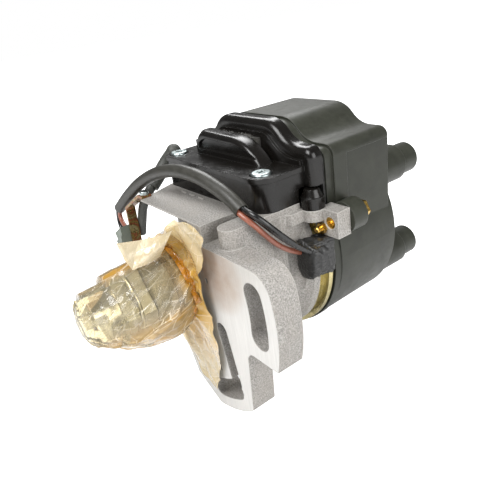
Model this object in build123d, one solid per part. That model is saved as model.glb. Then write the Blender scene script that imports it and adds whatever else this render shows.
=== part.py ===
from build123d import *
import os
from math import acos, atan2, cos, degrees, radians, sin, tan

# Ignition distributor with its coil built on, for the end of a camshaft.
# Millimetres. Y is the shaft's axis, from the drive end (-Y) to the cap (+Y), and Z is up.
# The origin is on the shaft's axis, in the plane of the machined mounting face.

# ---------------------------------------------------------------- driving sizes
# mounting flange
FLANGE_T = 11.0
HUB_R = 21.0
EAR_R = 60.2
EAR_TOP_Z = 20.5
EAR_FOOT_Z = -16.4
NOTCH_X = 40.5
LEG_FOOT_X = 36.6
LEG_HEEL_X = 11.8
LEG_SIDE_X = -4.0
LEG_SIDE_Z = -50.8
EAR_CORNER_R = 9.0
NOTCH_CORNER_R = 4.5
LEG_CORNER_R = 3.0
SLOT_R = 50.3
SLOT_W = 9.4
EAR_SLOT_FROM = -7.0
EAR_SLOT_TO = 12.4
LEG_SLOT_FROM = -73.5
LEG_SLOT_TO = -56.5
GROOVE_W = 6.6
GROOVE_DEPTH = 8.0
PIT_R = 1.2
PIT_DEPTH = 3.0
PIT_X = 19.5
PIT_Z = 5.8
POCKET_DEPTH = 5.0

# spigot, shaft and bearings
SPIGOT_R = 14.5
SPIGOT_L = 18.5
ORING_R = 1.3
ORING_PROUD = 0.35
ORING_Y = -9.0
SHAFT_R = 6.0
BORE_R = 8.5
BUSH_R = 9.0
BUSH_L = 12.0
BUSH_INSET = 1.0
SEAL_R = 11.0
SEAL_T = 6.0
BEARING_R = 14.0
BEARING_T = 8.0
BEARING_Y = 29.0
RUN_FIT = 0.03
FREE_GAP = 0.4
WIRE_CLIP = 1.1

# drive coupling
COUPLING_R = 13.5
COUPLING_L = 11.9
COUPLING_FLAT = 10.8
COUPLING_GAP = 0.6
TONGUE_R = 10.4
TONGUE_L = 9.7
TONGUE_W = 6.4
TONGUE_OFFSET = 1.2
TONGUE_DEPTH = 4.5
COUPLING_TURN = 38.0
PIN_R = 2.0
RING_WIRE_R = 0.8

# barrel
NECK_R = 20.0
NECK_END_Y = 15.0
BARREL_R = 34.0
BARREL_Y = 22.0
MOUTH_LEDGE = 2.4
MOUTH_Y = 41.0
MOUTH_WALL = 5.2
MOUTH_DEPTH = 3.0
MOUTH_FLARE_L = 9.0
SIDE_X = 34.0
FLUTE_R = 4.0
FLUTE_DEPTH = 0.9
FLUTE_Y = 24.8
FLUTE_PITCH = 6.6

# coil shelf
SHELF_Z = 28.0
SHELF_T = 2.4
SHELF_FRONT_Y = 1.0
SHELF_LEFT_X = -27.0
SHELF_SPLAY = 8.0
SHELF_RIGHT_X = 20.5
PILLAR_W = 9.0
PAD_R = 4.3
PAD_Y = 7.6
MARK_L = 3.4
MARK_W = 0.9
MARK_H = 0.5
MARK_PITCH = 6.8
MARK_X = -18.4
MARK_Y = 18.0

# cap lugs
LUG_OUT = 5.0
LUG_Z = 20.5
LUG_BLOCK_OUT = 4.0
LUG_BLOCK_TOP = 25.5
LUG_BLOCK_FOOT = 15.0
LUG_WEB_Z = 21.0
LUG_BLOCK_FRONT = 42.0
LUG_FACE_Y = 48.5
CAP_LUG_R = 6.2
CAP_LUG_L = 7.4
SCREW_R = 2.4
SCREW_HEAD_R = 4.2
SCREW_WASHER_R = 4.6
SCREW_HEAD_T = 2.8

# shield plate and gasket
SHIELD_T = 1.0
SHIELD_SEAT = 1.0
SHIELD_RIM_IN = 0.6
SHIELD_RIM_Y = 46.3
SHIELD_HOLE_R = 9.5
GASKET_T = 1.0
GASKET_IN = 1.8

# cap
CAP_BAND_R = 40.6
CAP_STEP = 0.4
CAP_RISE = 1.0
CAP_TAPER = 0.7
CAP_BAND_L = 3.4
CAP_END_Y = 88.0
CAP_END_BEVEL = 3.5
CAVITY_DRAFT = 1.2
CAP_WALL = 2.6
CAP_FLOOR = 6.0
CASE_TOP_Z = 55.5
CASE_SHOULDER_Z = 47.0
CASE_HALF = 39.5
CASE_HUMP_HALF = 12.0
CASE_SHOULDER_IN = 8.5
CASE_END_Y = 83.0
CASE_CORNER_R = 4.0
CASE_EDGE_R = 2.5
PANEL_DEPTH = 0.8
PANEL_COLLAR = 7.0
PANEL_DROP = 4.6
BAND_STEP = 1.0
TOWER_WEB = 3.0
TOWER_BASE_R = 8.4
TOWER_R = 7.1
TOWER_BASE_L = 18.0
TOWER_L = 28.0
TOWER_BORE_R = 3.8
TOWER_BORE_L = 17.0
TOWER_TURN = 45.0
TERMINAL_R = 2.5
POST_R = 3.4
POST_L = 20.0

# rotor, trigger wheel and pickups
ROTOR_Y = 52.0
ROTOR_HUB_R = 9.5
ROTOR_L = 15.0
ROTOR_ARM_W = 13.0
ROTOR_ARM_IN = 7.4
STRIP_W = 5.0
STRIP_T = 1.4
SPARK_GAP = 0.6
TRIGGER_R = 15.0
TRIGGER_TOOTH_R = 18.5
TRIGGER_T = 4.0
TRIGGER_GAP = 1.6
TRIGGER_TEETH = 4
PICKUP_W = 12.0
PICKUP_H = 9.0
PICKUP_L = 7.0
PICKUP_AIR = 0.8
BRUSH_R = 2.3
BRUSH_GAP = 0.3

# coil base, cover and coil
BASE_LEFT_X = -36.0
BASE_RIGHT_X = 34.0
BASE_FRONT_Y = 20.4
BASE_WALL = 2.0
BASE_CORNER_R = 7.0
COVER_Z = 39.3
COVER_T = 2.0
COVER_LIP = 0.5
BUMP_LEFT_X = -24.5
BUMP_RIGHT_X = 20.5
BUMP_FRONT_Y = 31.0
BUMP_BACK_Y = 37.4
BUMP_H = 10.0
BUMP_EDGE_R = 2.2
BUMP_RIM = 2.8
BUMP_RECESS = 1.0
BUMP_TOP_FROM = 7.5
BUMP_TOP_TO = 26.0
BOSS_R = 2.7
BOSS_H = 4.6
WALL_RISE = 0.9
WALL_IN = 1.3
WALL_EDGE_R = 2.8
WALL_FRONT_Y = 40.6
WALL_FOOT_Z = 33.5
WALL_RIB = 1.3
WALL_RIB_INSET = 4.5
COVER_SCREW_R = 3.9
COVER_SCREW_T = 1.5
COVER_SCREW_SINK = 0.7
COIL_GAP = 0.4
COIL_LOW_Z = 38.0
POTTING_FROM_X = -18.0
POTTING_TO_X = 12.0
POTTING_DROP = 1.5

# harness
SLEEVE_R = 2.7
SLEEVE_MOUTH = 4.0
WIRE_R = 1.05
SLEEVE_WALL = 0.3
WIRE_SPREAD = 1.22
WIRE_DROP = 0.5
WIRE_RISE = 1.33
WIRE_INSET = 3.0
LEAD_R = 2.2
LEAD_SOCK_R = 3.3
BOOT_OUT = 10.8
BOOT_FRONT_Y = 31.6
BOOT_BACK_Y = 45.0
BOOT_TOP_Z = 14.8
BOOT_FOOT_Z = -0.8
BOOT_EDGE_R = 3.0
BRACKET_T = 1.2
BRACKET_W = 4.6
BRACKET_Y = 2.0
BRACKET_KNEE_X = -49.6
BRACKET_KNEE_Z = 18.8
BRACKET_END_X = -51.4
BRACKET_END_Z = -1.0
PLUG_W = 16.0
PLUG_D = 8.0
PLUG_H = 12.0
PLUG_X = -51.2
PLUG_Y = 1.5
PLUG_Z = 3.2
PLUG_TILT = 30.0
STUD_IN = 3.9
STUD_Z = 17.8
STUD_R = 1.2
STUD_NUT_R = 2.3
STUD_NUT_T = 1.6
STUD_L = 3.8
VENT_X = 36.6
VENT_Y = 41.4
VENT_R = 4.5
VENT_H = 4.6
VENT_TOP_H = 2.9

# protective film
FILM_T = 0.7
FILM_ROOM = 0.45
FILM_R = 17.2
FILM_END_Y = -44.2
FILM_FACE_Y = -2.8
FILM_FLAP_Y = -6.0
BAND_T = 0.8
BAND_W = 2.6

# ---------------------------------------------------------------- sizes worked out from those
SHELF_BACK_Y = BASE_FRONT_Y
BASE_INNER_Y = BASE_FRONT_Y + BASE_WALL
PAD_X = SIDE_X - PAD_R
LUG_X = CASE_HALF + LUG_OUT
LUG_BLOCK_X = LUG_X + LUG_BLOCK_OUT
MOUTH_R = CAP_BAND_R - MOUTH_LEDGE
MOUTH_BORE_R = MOUTH_R - MOUTH_WALL
SHIELD_R = MOUTH_R - SHIELD_SEAT
SHIELD_RIM_R = CAP_BAND_R - SHIELD_RIM_IN
GASKET_R = CAP_BAND_R - GASKET_IN
CAP_R = CAP_BAND_R + CAP_STEP
CAP_END_R = CAP_R - CAP_TAPER
CASE_SHOULDER_X = CASE_HALF - CASE_SHOULDER_IN
WALL_HALF = CASE_HALF - WALL_IN
STUD_X = LUG_X - STUD_IN
VENT_SEAT = VENT_R + 0.3
BASE_BACK_Y = SHIELD_RIM_Y
LUG_ROOM_R = CAP_BAND_R + FREE_GAP
ORING_FLOOR_R = SPIGOT_R - 2 * ORING_R + ORING_PROUD
FILM_NECK_R = SPIGOT_R + FILM_ROOM + FILM_T
BARREL_TOP_Z = SHELF_Z
SHIELD_Y = MOUTH_Y
GASKET_Y = SHIELD_RIM_Y
CAP_FACE_Y = GASKET_Y + GASKET_T
CAP_STEP_Y = CAP_FACE_Y + CAP_BAND_L
CAP_ROOF_Y = CAP_END_Y - CAP_FLOOR
CAP_CAVITY_R = CAP_BAND_R - CAP_WALL
TOWER_PCD_R = CAP_CAVITY_R - CAVITY_DRAFT - POST_R - TOWER_WEB
ROTOR_ARM_R = TOWER_PCD_R - ROTOR_ARM_IN
TOWER_END_Y = CAP_END_Y + TOWER_L
TOWER_BOTTOM_Y = TOWER_END_Y - TOWER_BORE_L
CAP_LUG_END_Y = LUG_FACE_Y + CAP_LUG_L
ROTOR_END_Y = ROTOR_Y + ROTOR_L
SHAFT_END_Y = ROTOR_Y + 8.0
COUPLING_Y = -SPIGOT_L - COUPLING_GAP
COUPLING_END_Y = COUPLING_Y - COUPLING_L
TONGUE_END_Y = COUPLING_END_Y - TONGUE_L
SHAFT_START_Y = COUPLING_END_Y - 1.0
PIN_Y = COUPLING_Y - COUPLING_L / 2
TRIGGER_Y = SHIELD_Y + SHIELD_T + TRIGGER_GAP
COVER_TOP_Z = COVER_Z + COVER_T


# ---------------------------------------------------------------- helpers
def across(y):
    """Plane across the shaft at y, where a sketch's x is X and its y is Z."""
    return Plane(origin=(0, y, 0), x_dir=(1, 0, 0), z_dir=(0, -1, 0))


def slab(face, y0, y1):
    """A sketch in X and Z pushed from y0 to y1."""
    return extrude(across(y1) * face, amount=y1 - y0)


def rod(radius, y0, y1, x=0.0, z=0.0):
    """A round bar along the shaft's axis."""
    return slab(Pos(x, z) * Circle(radius), y0, y1)


def ring(outer, inner, y0, y1, x=0.0, z=0.0):
    """A round bar along the shaft's axis with a hole."""
    return rod(outer, y0, y1, x, z) - rod(inner, y0 - 1, y1 + 1, x, z)


def block(x0, x1, y0, y1, z0, z1):
    """A box between two corners."""
    return Pos((x0 + x1) / 2, (y0 + y1) / 2, (z0 + z1) / 2) * Box(x1 - x0, y1 - y0, z1 - z0)


def post(radius, x, y, z0, z1):
    """A round bar that stands upright."""
    return Pos(x, y, (z0 + z1) / 2) * Cylinder(radius, z1 - z0)


def turned(*points):
    """A solid turned about the shaft's axis from (radius, y) points."""
    return revolve(make_face(Polyline(*points, close=True)), Axis.Y)


def polar(radius, angle):
    """The X and Z of a place around the shaft."""
    return radius * cos(radians(angle)), radius * sin(radians(angle))


def spin(shape, angle):
    """A shape turned about the shaft so that X goes towards Z."""
    return Rot(0, -angle, 0) * shape


def near(sketch, x, y):
    """The corner of a sketch nearest to a place."""
    return sketch.vertices().sort_by_distance((x, y, 0))[0]


def lead(radius, *points):
    """A round lead of straight runs joined by arcs as large as the runs allow."""
    places = [Vector(*p) for p in points]
    radii = []
    for before, here, after in zip(places, places[1:], places[2:]):
        turn = (here - before).get_angle(after - here)
        run = min((here - before).length, (after - here).length)
        radii.append(0.45 * run / tan(radians(turn / 2)))
    path = FilletPolyline(*places, radius=radii) if radii else Line(*places)
    end = Plane(origin=path @ 0, z_dir=path % 0)
    return sweep(end * Circle(radius), path=path), path, radii


# ---------------------------------------------------------------- housing
def flange_outline():
    """The eccentric mounting flange, seen along the shaft."""
    side = Vector(LEG_SIDE_X, LEG_SIDE_Z)
    lean = degrees(atan2(LEG_SIDE_Z, LEG_SIDE_X)) - degrees(acos(HUB_R / side.length))
    touch = polar(HUB_R, lean)
    heel = (LEG_HEEL_X, -((EAR_R**2 - LEG_HEEL_X**2) ** 0.5))
    far = EAR_R + 10
    reach = make_face(
        Polyline(
            (0, EAR_TOP_Z),
            (far, EAR_TOP_Z),
            (far, EAR_FOOT_Z),
            (NOTCH_X, EAR_FOOT_Z),
            (LEG_FOOT_X, -EAR_R),
            heel,
            (LEG_SIDE_X, LEG_SIDE_Z),
            touch,
            close=True,
        )
    )
    face = Circle(EAR_R) & reach
    corner_x = (EAR_R**2 - EAR_TOP_Z**2) ** 0.5
    foot_x = LEG_FOOT_X + 0.6
    face = fillet(near(face, corner_x, EAR_TOP_Z), EAR_CORNER_R)
    face = fillet(near(face, NOTCH_X, EAR_FOOT_Z), NOTCH_CORNER_R)
    face = fillet(near(face, foot_x, -((EAR_R**2 - foot_x**2) ** 0.5)), LEG_CORNER_R)
    return face + Circle(HUB_R)


def adjusting_slot(start, stop):
    """A slot concentric with the shaft, for turning the distributor on its bolts."""
    return SlotArc(CenterArc((0, 0), SLOT_R, start, stop - start), SLOT_W)


def flange():
    """The flange with its two through slots and the pockets in its machined face."""
    plate = slab(flange_outline(), 0, FLANGE_T)
    for start, stop in ((EAR_SLOT_FROM, EAR_SLOT_TO), (LEG_SLOT_FROM, LEG_SLOT_TO)):
        plate -= slab(adjusting_slot(start, stop), -1, FLANGE_T + 1)
    groove = Line((24.6, -14.6), (28.8, -37.5))
    plate -= slab(SlotCenterToCenter(groove.length, GROOVE_W).moved(
        Location(groove @ 0.5) * Rot(0, 0, degrees(atan2(-22.9, 4.2)))), -1, GROOVE_DEPTH)
    pocket = make_face(Polyline((11.8, -40), (18.2, -33), (18.9, -37.1), close=True))
    plate -= slab(pocket, -1, POCKET_DEPTH)
    plate -= rod(PIT_R, -1, PIT_DEPTH, PIT_X, PIT_Z)
    return plate


def flare(grow):
    """The round part of the barrel, larger by grow all round."""
    return turned((0, FLANGE_T), (NECK_R + grow, FLANGE_T), (NECK_R + grow, NECK_END_Y - grow),
                  (BARREL_R + grow, BARREL_Y - grow), (BARREL_R + grow, MOUTH_Y - MOUTH_FLARE_L - grow),
                  (MOUTH_R + grow, MOUTH_Y - 3 - grow), (MOUTH_R + grow, MOUTH_Y), (0, MOUTH_Y))


def barrel():
    """The cast barrel, from a neck behind the flange to the round mouth."""
    neck = rod(NECK_R, 0, BARREL_Y)
    chest = block(-SIDE_X, SIDE_X, BARREL_Y, LUG_BLOCK_FRONT - 1, 0, BARREL_TOP_Z)
    shoulder = block(-NECK_R + 4, SHELF_RIGHT_X, FLANGE_T, BARREL_Y + 1, 0, BARREL_TOP_Z)
    corner = block(0, SIDE_X, BASE_FRONT_Y - 2, BARREL_Y + 1, 0, BARREL_TOP_Z)
    heel = block(0, SIDE_X, FLANGE_T - 1, BARREL_Y + 1, 0, EAR_TOP_Z)
    round_part = flare(0) - block(-SIDE_X, SIDE_X, 0, BASE_INNER_Y + FREE_GAP, SHELF_Z, 2 * SHELF_Z)
    body = neck + round_part + chest + shoulder + corner + heel
    for y, foot, top in ((FLUTE_Y, 2, SHELF_Z + 1), (FLUTE_Y + FLUTE_PITCH, -8, 12)):
        body -= post(FLUTE_R, SIDE_X + FLUTE_R - FLUTE_DEPTH, y, foot, top)
    return body


def shelf():
    """The cast ledge that carries the coil, its pillar, three cast marks and the round pad."""
    ledge = make_face(
        Polyline(
            (SHELF_LEFT_X, SHELF_FRONT_Y),
            (SHELF_RIGHT_X, SHELF_FRONT_Y),
            (SHELF_RIGHT_X, SHELF_BACK_Y),
            (SIDE_X, SHELF_BACK_Y),
            (SIDE_X, BASE_BACK_Y - 6),
            (BASE_LEFT_X, BASE_BACK_Y - 6),
            (SHELF_LEFT_X - SHELF_SPLAY, SHELF_BACK_Y),
            close=True,
        )
    )
    plate = extrude(Plane.XY.offset(SHELF_Z - SHELF_T) * ledge, amount=SHELF_T)
    undercut = Plane(origin=(0, SHELF_FRONT_Y, SHELF_Z - 0.5), x_dir=(1, 0, 0), z_dir=(0, -0.5, -1))
    plate = split(plate, bisect_by=undercut, keep=Keep.BOTTOM)
    pillar = block(SHELF_RIGHT_X - PILLAR_W, SHELF_RIGHT_X, SHELF_FRONT_Y, FLANGE_T + 2,
                   HUB_R - 6, SHELF_Z - 0.2)
    pad = post(PAD_R, PAD_X, PAD_Y, EAR_TOP_Z - 1, SHELF_Z)
    pad += block(PAD_X - PAD_R, PAD_X + PAD_R, PAD_Y, BARREL_Y, EAR_TOP_Z - 1, SHELF_Z)
    body = plate + pillar + pad
    for i in range(3):
        body += Pos(MARK_X + MARK_PITCH * i, MARK_Y, SHELF_Z) * Box(MARK_L, MARK_W, 2 * MARK_H)
    return body


def cap_room():
    """Room behind the mouth for the shield's rim, the cap's band and the coil case."""
    case = saddle(FREE_GAP - BAND_STEP, CASE_HALF - BAND_STEP + FREE_GAP, 0)
    room = slab(case, GASKET_Y - FREE_GAP, LUG_FACE_Y + 1)
    return room + rod(LUG_ROOM_R, MOUTH_Y, LUG_FACE_Y + 1)


def vent_room():
    """Room round the vent plug, above its seat on the right boss."""
    return post(VENT_R + FREE_GAP, VENT_X, VENT_Y, LUG_BLOCK_TOP, WALL_FOOT_Z)


def lug_face():
    """Outline of the right boss, with its sloping underside."""
    return make_face(
        Polyline(
            (26, 2),
            (31, 6),
            (38, LUG_BLOCK_FOOT),
            (LUG_BLOCK_X, LUG_BLOCK_FOOT),
            (LUG_BLOCK_X, LUG_BLOCK_TOP),
            (26, LUG_BLOCK_TOP),
            close=True,
        )
    )


def lug_block():
    """The boss that takes a cap screw, cleared for the shield's rim."""
    lug = slab(lug_face(), LUG_BLOCK_FRONT, LUG_FACE_Y)
    lug += post(VENT_SEAT, VENT_X, VENT_Y, LUG_BLOCK_TOP - 4.5, LUG_BLOCK_TOP)
    web = make_face(Polyline((30, 27), (SIDE_X + 2, 31), (SIDE_X + 2, 36), (VENT_X, 40.5),
                             (VENT_X, LUG_BLOCK_FRONT + 1), (30, LUG_BLOCK_FRONT + 1), close=True))
    lug += extrude(Plane.XY.offset(LUG_WEB_Z) * web, amount=LUG_BLOCK_TOP - LUG_WEB_Z)
    lug -= cap_room()
    lug -= rod(SCREW_R, LUG_BLOCK_FRONT - 1, LUG_FACE_Y + 1, LUG_X, LUG_Z)
    return lug


def bores():
    """Everything bored out along the shaft."""
    cut = rod(BORE_R, -SPIGOT_L - 1, MOUTH_Y + 1)
    cut += rod(BUSH_R, -SPIGOT_L - 1, -SPIGOT_L + BUSH_INSET + BUSH_L)
    cut += rod(SEAL_R, BEARING_Y - 1 - SEAL_T, BEARING_Y + 1)
    cut += rod(BEARING_R, BEARING_Y, MOUTH_Y)
    cut += rod(MOUTH_BORE_R, MOUTH_Y - MOUTH_DEPTH, MOUTH_Y + 1)
    return cut


def make_housing():
    spigot = rod(SPIGOT_R, -SPIGOT_L, 1)
    spigot = chamfer(spigot.edges().group_by(Axis.Y)[0], 0.8)
    spigot -= ring(SPIGOT_R + 1, ORING_FLOOR_R, ORING_Y - ORING_R, ORING_Y + ORING_R)
    body = flange() + barrel() + shelf() + spigot
    body += lug_block() + mirror_lug()
    body -= bores()
    body -= rod(STUD_R + 0.1, LUG_BLOCK_FRONT - 1, LUG_BLOCK_FRONT + 4, STUD_X, STUD_Z)
    return body - vent_room()


def mirror_lug():
    """The second cap lug, across the shaft from the first."""
    arm = slab(make_face(Polyline((-20, -26), (-30, -18), (-LUG_BLOCK_X, -LUG_BLOCK_FOOT),
                                  (-LUG_BLOCK_X, -LUG_BLOCK_TOP), (-26, -LUG_BLOCK_TOP - 4),
                                  close=True)), MOUTH_Y - 6, LUG_FACE_Y)
    arm -= cap_room()
    arm -= rod(SCREW_R, MOUTH_Y - 7, LUG_FACE_Y + 1, -LUG_X, -LUG_Z)
    return arm


# ---------------------------------------------------------------- pieces in the housing
def make_spigot_oring():
    return revolve(Pos(ORING_FLOOR_R + ORING_R, ORING_Y) * Circle(ORING_R), Axis.Y)


def make_front_bush():
    y0 = -SPIGOT_L + BUSH_INSET
    return ring(BUSH_R, SHAFT_R + RUN_FIT, y0, y0 + BUSH_L)


def make_oil_seal():
    y1 = BEARING_Y
    lip = SHAFT_R + 0.3
    return turned((lip, y1 - 2.2), (SEAL_R - 3, y1 - 1.6), (SEAL_R - 1.2, y1 - SEAL_T + 1),
                  (SEAL_R - 1.2, y1 - SEAL_T), (SEAL_R, y1 - SEAL_T), (SEAL_R, y1), (lip, y1))


def make_rear_bearing():
    body = ring(BEARING_R, SHAFT_R + RUN_FIT, BEARING_Y, BEARING_Y + BEARING_T)
    for y in (BEARING_Y, BEARING_Y + BEARING_T - 0.6):
        body -= ring(BEARING_R - 2.2, SHAFT_R + 2.2, y - 0.01, y + 0.61)
    return body


def make_shield_plate():
    """Pressed and plated plate that closes the barrel and carries the pickups."""
    y0 = SHIELD_Y
    dish = turned((SHIELD_HOLE_R, y0), (SHIELD_R, y0), (SHIELD_R, SHIELD_RIM_Y - 2.2),
                  (SHIELD_RIM_R, SHIELD_RIM_Y - 2.2), (SHIELD_RIM_R, SHIELD_RIM_Y),
                  (SHIELD_RIM_R - 1.0, SHIELD_RIM_Y), (SHIELD_RIM_R - 1.0, SHIELD_RIM_Y - 1.2),
                  (SHIELD_R - SHIELD_T, SHIELD_RIM_Y - 1.2), (SHIELD_R - SHIELD_T, y0 + SHIELD_T),
                  (SHIELD_HOLE_R, y0 + SHIELD_T))
    return dish


def pickup_spots():
    return (160.0, 340.0)


def make_pickups():
    """Two magnetic pickups that face the trigger wheel."""
    y0 = SHIELD_Y + SHIELD_T
    r0 = TRIGGER_TOOTH_R + PICKUP_AIR
    units = []
    for angle in pickup_spots():
        pole = block(r0, r0 + 4, TRIGGER_Y, TRIGGER_Y + TRIGGER_T, -1.5, 1.5)
        body = block(r0 + 3, r0 + 3 + PICKUP_H, y0, y0 + PICKUP_L, -PICKUP_W / 2, PICKUP_W / 2)
        body = fillet(body.edges().filter_by(Axis.Y), 1.5)
        units.append(spin(body + pole, angle))
    return Compound(units)


def make_cap_gasket():
    """Flat gasket round the mouth and round the coil case's opening."""
    case = saddle(-BAND_STEP, CASE_HALF - BAND_STEP, 0)
    frame = offset(case, -0.8) - offset(case, -2.2)
    face = Circle(GASKET_R) + frame - Circle(CAP_CAVITY_R - 0.6)
    return slab(face, GASKET_Y, CAP_FACE_Y)


# ---------------------------------------------------------------- cap
def saddle(rise, half, foot):
    """The coil case's outline: a flat hump that falls in two arcs to square shoulders."""
    top, ledge = CASE_TOP_Z + rise, CASE_SHOULDER_Z + rise
    middle = ((CASE_HUMP_HALF + CASE_SHOULDER_X) / 2, (top + ledge) / 2)
    hump = (CASE_HUMP_HALF, top)
    heel = (CASE_SHOULDER_X, ledge)
    right = [TangentArc(hump, middle, tangent=(1, 0)), TangentArc(heel, middle, tangent=(-1, 0)),
             Line(heel, (half, ledge)), Line((half, ledge), (half, foot))]
    edges = right + [e.mirror(Plane.YZ) for e in right]
    edges += [Line((-CASE_HUMP_HALF, top), hump), Line((-half, foot), (half, foot))]
    face = make_face(edges)
    return fillet([near(face, half, ledge), near(face, -half, ledge)], CASE_CORNER_R)


def tower_spots():
    """The posts' places on their circle; the towers stand a little higher than these."""
    return [polar(TOWER_PCD_R, TOWER_TURN + 90 * i) for i in range(4)]


def case_block():
    """The coil case's outside, with a shallow panel sunk in each of its sides."""
    case = slab(saddle(0, CASE_HALF, 0), CAP_STEP_Y, CASE_END_Y)
    case = fillet(case.edges().group_by(Axis.Y)[-1], CASE_EDGE_R)
    for side in (1, -1):
        x0, x1 = sorted((side * (CASE_HALF - PANEL_DEPTH), side * (CASE_HALF + 1)))
        case -= block(x0, x1, CAP_STEP_Y + PANEL_COLLAR, CASE_END_Y + 1, -1, CASE_SHOULDER_Z - PANEL_DROP)
    return case


def make_cap():
    """Moulded cap: a round body and the coil case in one shell, with four towers."""
    band = rod(CAP_BAND_R, CAP_FACE_Y, CAP_STEP_Y)
    band += slab(saddle(-BAND_STEP, CASE_HALF - BAND_STEP, 0), CAP_FACE_Y, CAP_STEP_Y)
    drum = turned((0, CAP_STEP_Y), (CAP_R, CAP_STEP_Y), (CAP_END_R, CAP_END_Y - CAP_END_BEVEL),
                  (CAP_END_R - CAP_END_BEVEL, CAP_END_Y), (0, CAP_END_Y))
    body = band + Pos(0, 0, CAP_RISE) * drum + case_block()
    for x, z in tower_spots():
        body += rod(TOWER_BASE_R, CAP_END_Y - 4, CAP_END_Y + TOWER_BASE_L, x, z + CAP_RISE)
        body += rod(TOWER_R, CAP_END_Y, TOWER_END_Y, x, z + CAP_RISE)
    for side in (1, -1):
        stem = rod(CAP_LUG_R, LUG_FACE_Y + 0.1, CAP_LUG_END_Y, side * LUG_X, side * LUG_Z)
        reach = slab(Rectangle(LUG_X, 2 * CAP_LUG_R - 2, align=(Align.MIN, Align.CENTER)),
                     CAP_STEP_Y, CAP_LUG_END_Y)
        body += stem + spin(reach, degrees(atan2(side * LUG_Z, side * LUG_X)))
    body -= turned((0, CAP_FACE_Y - 1), (CAP_CAVITY_R, CAP_FACE_Y - 1),
                   (CAP_CAVITY_R - CAVITY_DRAFT, CAP_ROOF_Y), (0, CAP_ROOF_Y))
    pocket = offset(saddle(0, CASE_HALF, 0), -CAP_WALL) - Pos(0, CAP_RISE) * Circle(CAP_R)
    body -= slab(pocket, CAP_FACE_Y - 1, CASE_END_Y - CAP_WALL)
    body += ring(BRUSH_R + 2.2, BRUSH_R, CAP_ROOF_Y - 7, CAP_ROOF_Y + 0.5)
    body -= rod(BRUSH_R, CAP_ROOF_Y - 8, CAP_END_Y - 2.5)
    for x, z in tower_spots():
        body -= rod(TOWER_BORE_R, TOWER_BOTTOM_Y, TOWER_END_Y + 1, x, z + CAP_RISE)
        body -= rod(TERMINAL_R, CAP_ROOF_Y - 1, TOWER_BOTTOM_Y + 1, x, z + CAP_RISE)
    for side in (1, -1):
        body -= rod(SCREW_R + 0.2, LUG_FACE_Y - 1, CAP_LUG_END_Y + 1, side * LUG_X, side * LUG_Z)
    return body


def make_coil():
    """The potted coil that fills the case behind the cover."""
    drum = Pos(0, CAP_RISE) * Circle(CAP_R + COIL_GAP)
    inner = offset(saddle(0, CASE_HALF, 0), -CAP_WALL - COIL_GAP) - drum
    upper = inner & Pos(0, COIL_LOW_Z) * Rectangle(4 * CASE_HALF, CASE_TOP_Z, align=(Align.CENTER, Align.MIN))
    return slab(upper, CAP_FACE_Y + COIL_GAP, CASE_END_Y - CAP_WALL)


def make_terminals():
    """The four outer contacts, from the tower bores to their posts inside the cap."""
    units = []
    for x, z in tower_spots():
        stem = rod(TERMINAL_R, CAP_ROOF_Y, TOWER_BOTTOM_Y, x, z + CAP_RISE)
        units.append(stem + rod(POST_R, CAP_ROOF_Y - POST_L, CAP_ROOF_Y, x, z))
    return Compound(units)


def make_brush():
    return rod(BRUSH_R, ROTOR_END_Y + STRIP_T + BRUSH_GAP, CAP_ROOF_Y - 3)


def make_brush_spring():
    """Closed sleeve of the brush spring's outer size."""
    return ring(BRUSH_R - 0.2, BRUSH_R - 0.9, CAP_ROOF_Y - 3, CAP_END_Y - 2.5)


def make_cap_screws():
    units = []
    for side in (1, -1):
        x, z = side * LUG_X, side * LUG_Z
        head = slab(Pos(x, z) * RegularPolygon(SCREW_HEAD_R, 6), CAP_LUG_END_Y + 0.9,
                    CAP_LUG_END_Y + 0.9 + SCREW_HEAD_T)
        washer = rod(SCREW_WASHER_R, CAP_LUG_END_Y, CAP_LUG_END_Y + 1.0, x, z)
        shank = rod(SCREW_R, LUG_BLOCK_FRONT + 0.5, CAP_LUG_END_Y + 0.5, x, z)
        units.append(head + washer + shank)
    return Compound(units)


# ---------------------------------------------------------------- turning parts
def make_shaft():
    body = rod(SHAFT_R, SHAFT_START_Y, SHAFT_END_Y)
    body = chamfer(body.edges().group_by(Axis.Y)[0], 0.6)
    body -= ring(SHAFT_R + 1, SHAFT_R - 0.7, BEARING_Y + BEARING_T + 0.1,
                 BEARING_Y + BEARING_T + 0.1 + WIRE_CLIP)
    body -= rod(PIN_R, -20, 20).rotate(Axis.X, 90).moved(Location((0, PIN_Y, 0)))
    return spin(body, COUPLING_TURN)


def make_circlip():
    y0 = BEARING_Y + BEARING_T + 0.1
    body = ring(SHAFT_R + 1.6, SHAFT_R - 0.7, y0, y0 + WIRE_CLIP)
    return body - block(-1.5, 1.5, y0 - 1, y0 + 3, 0, 20)


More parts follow.
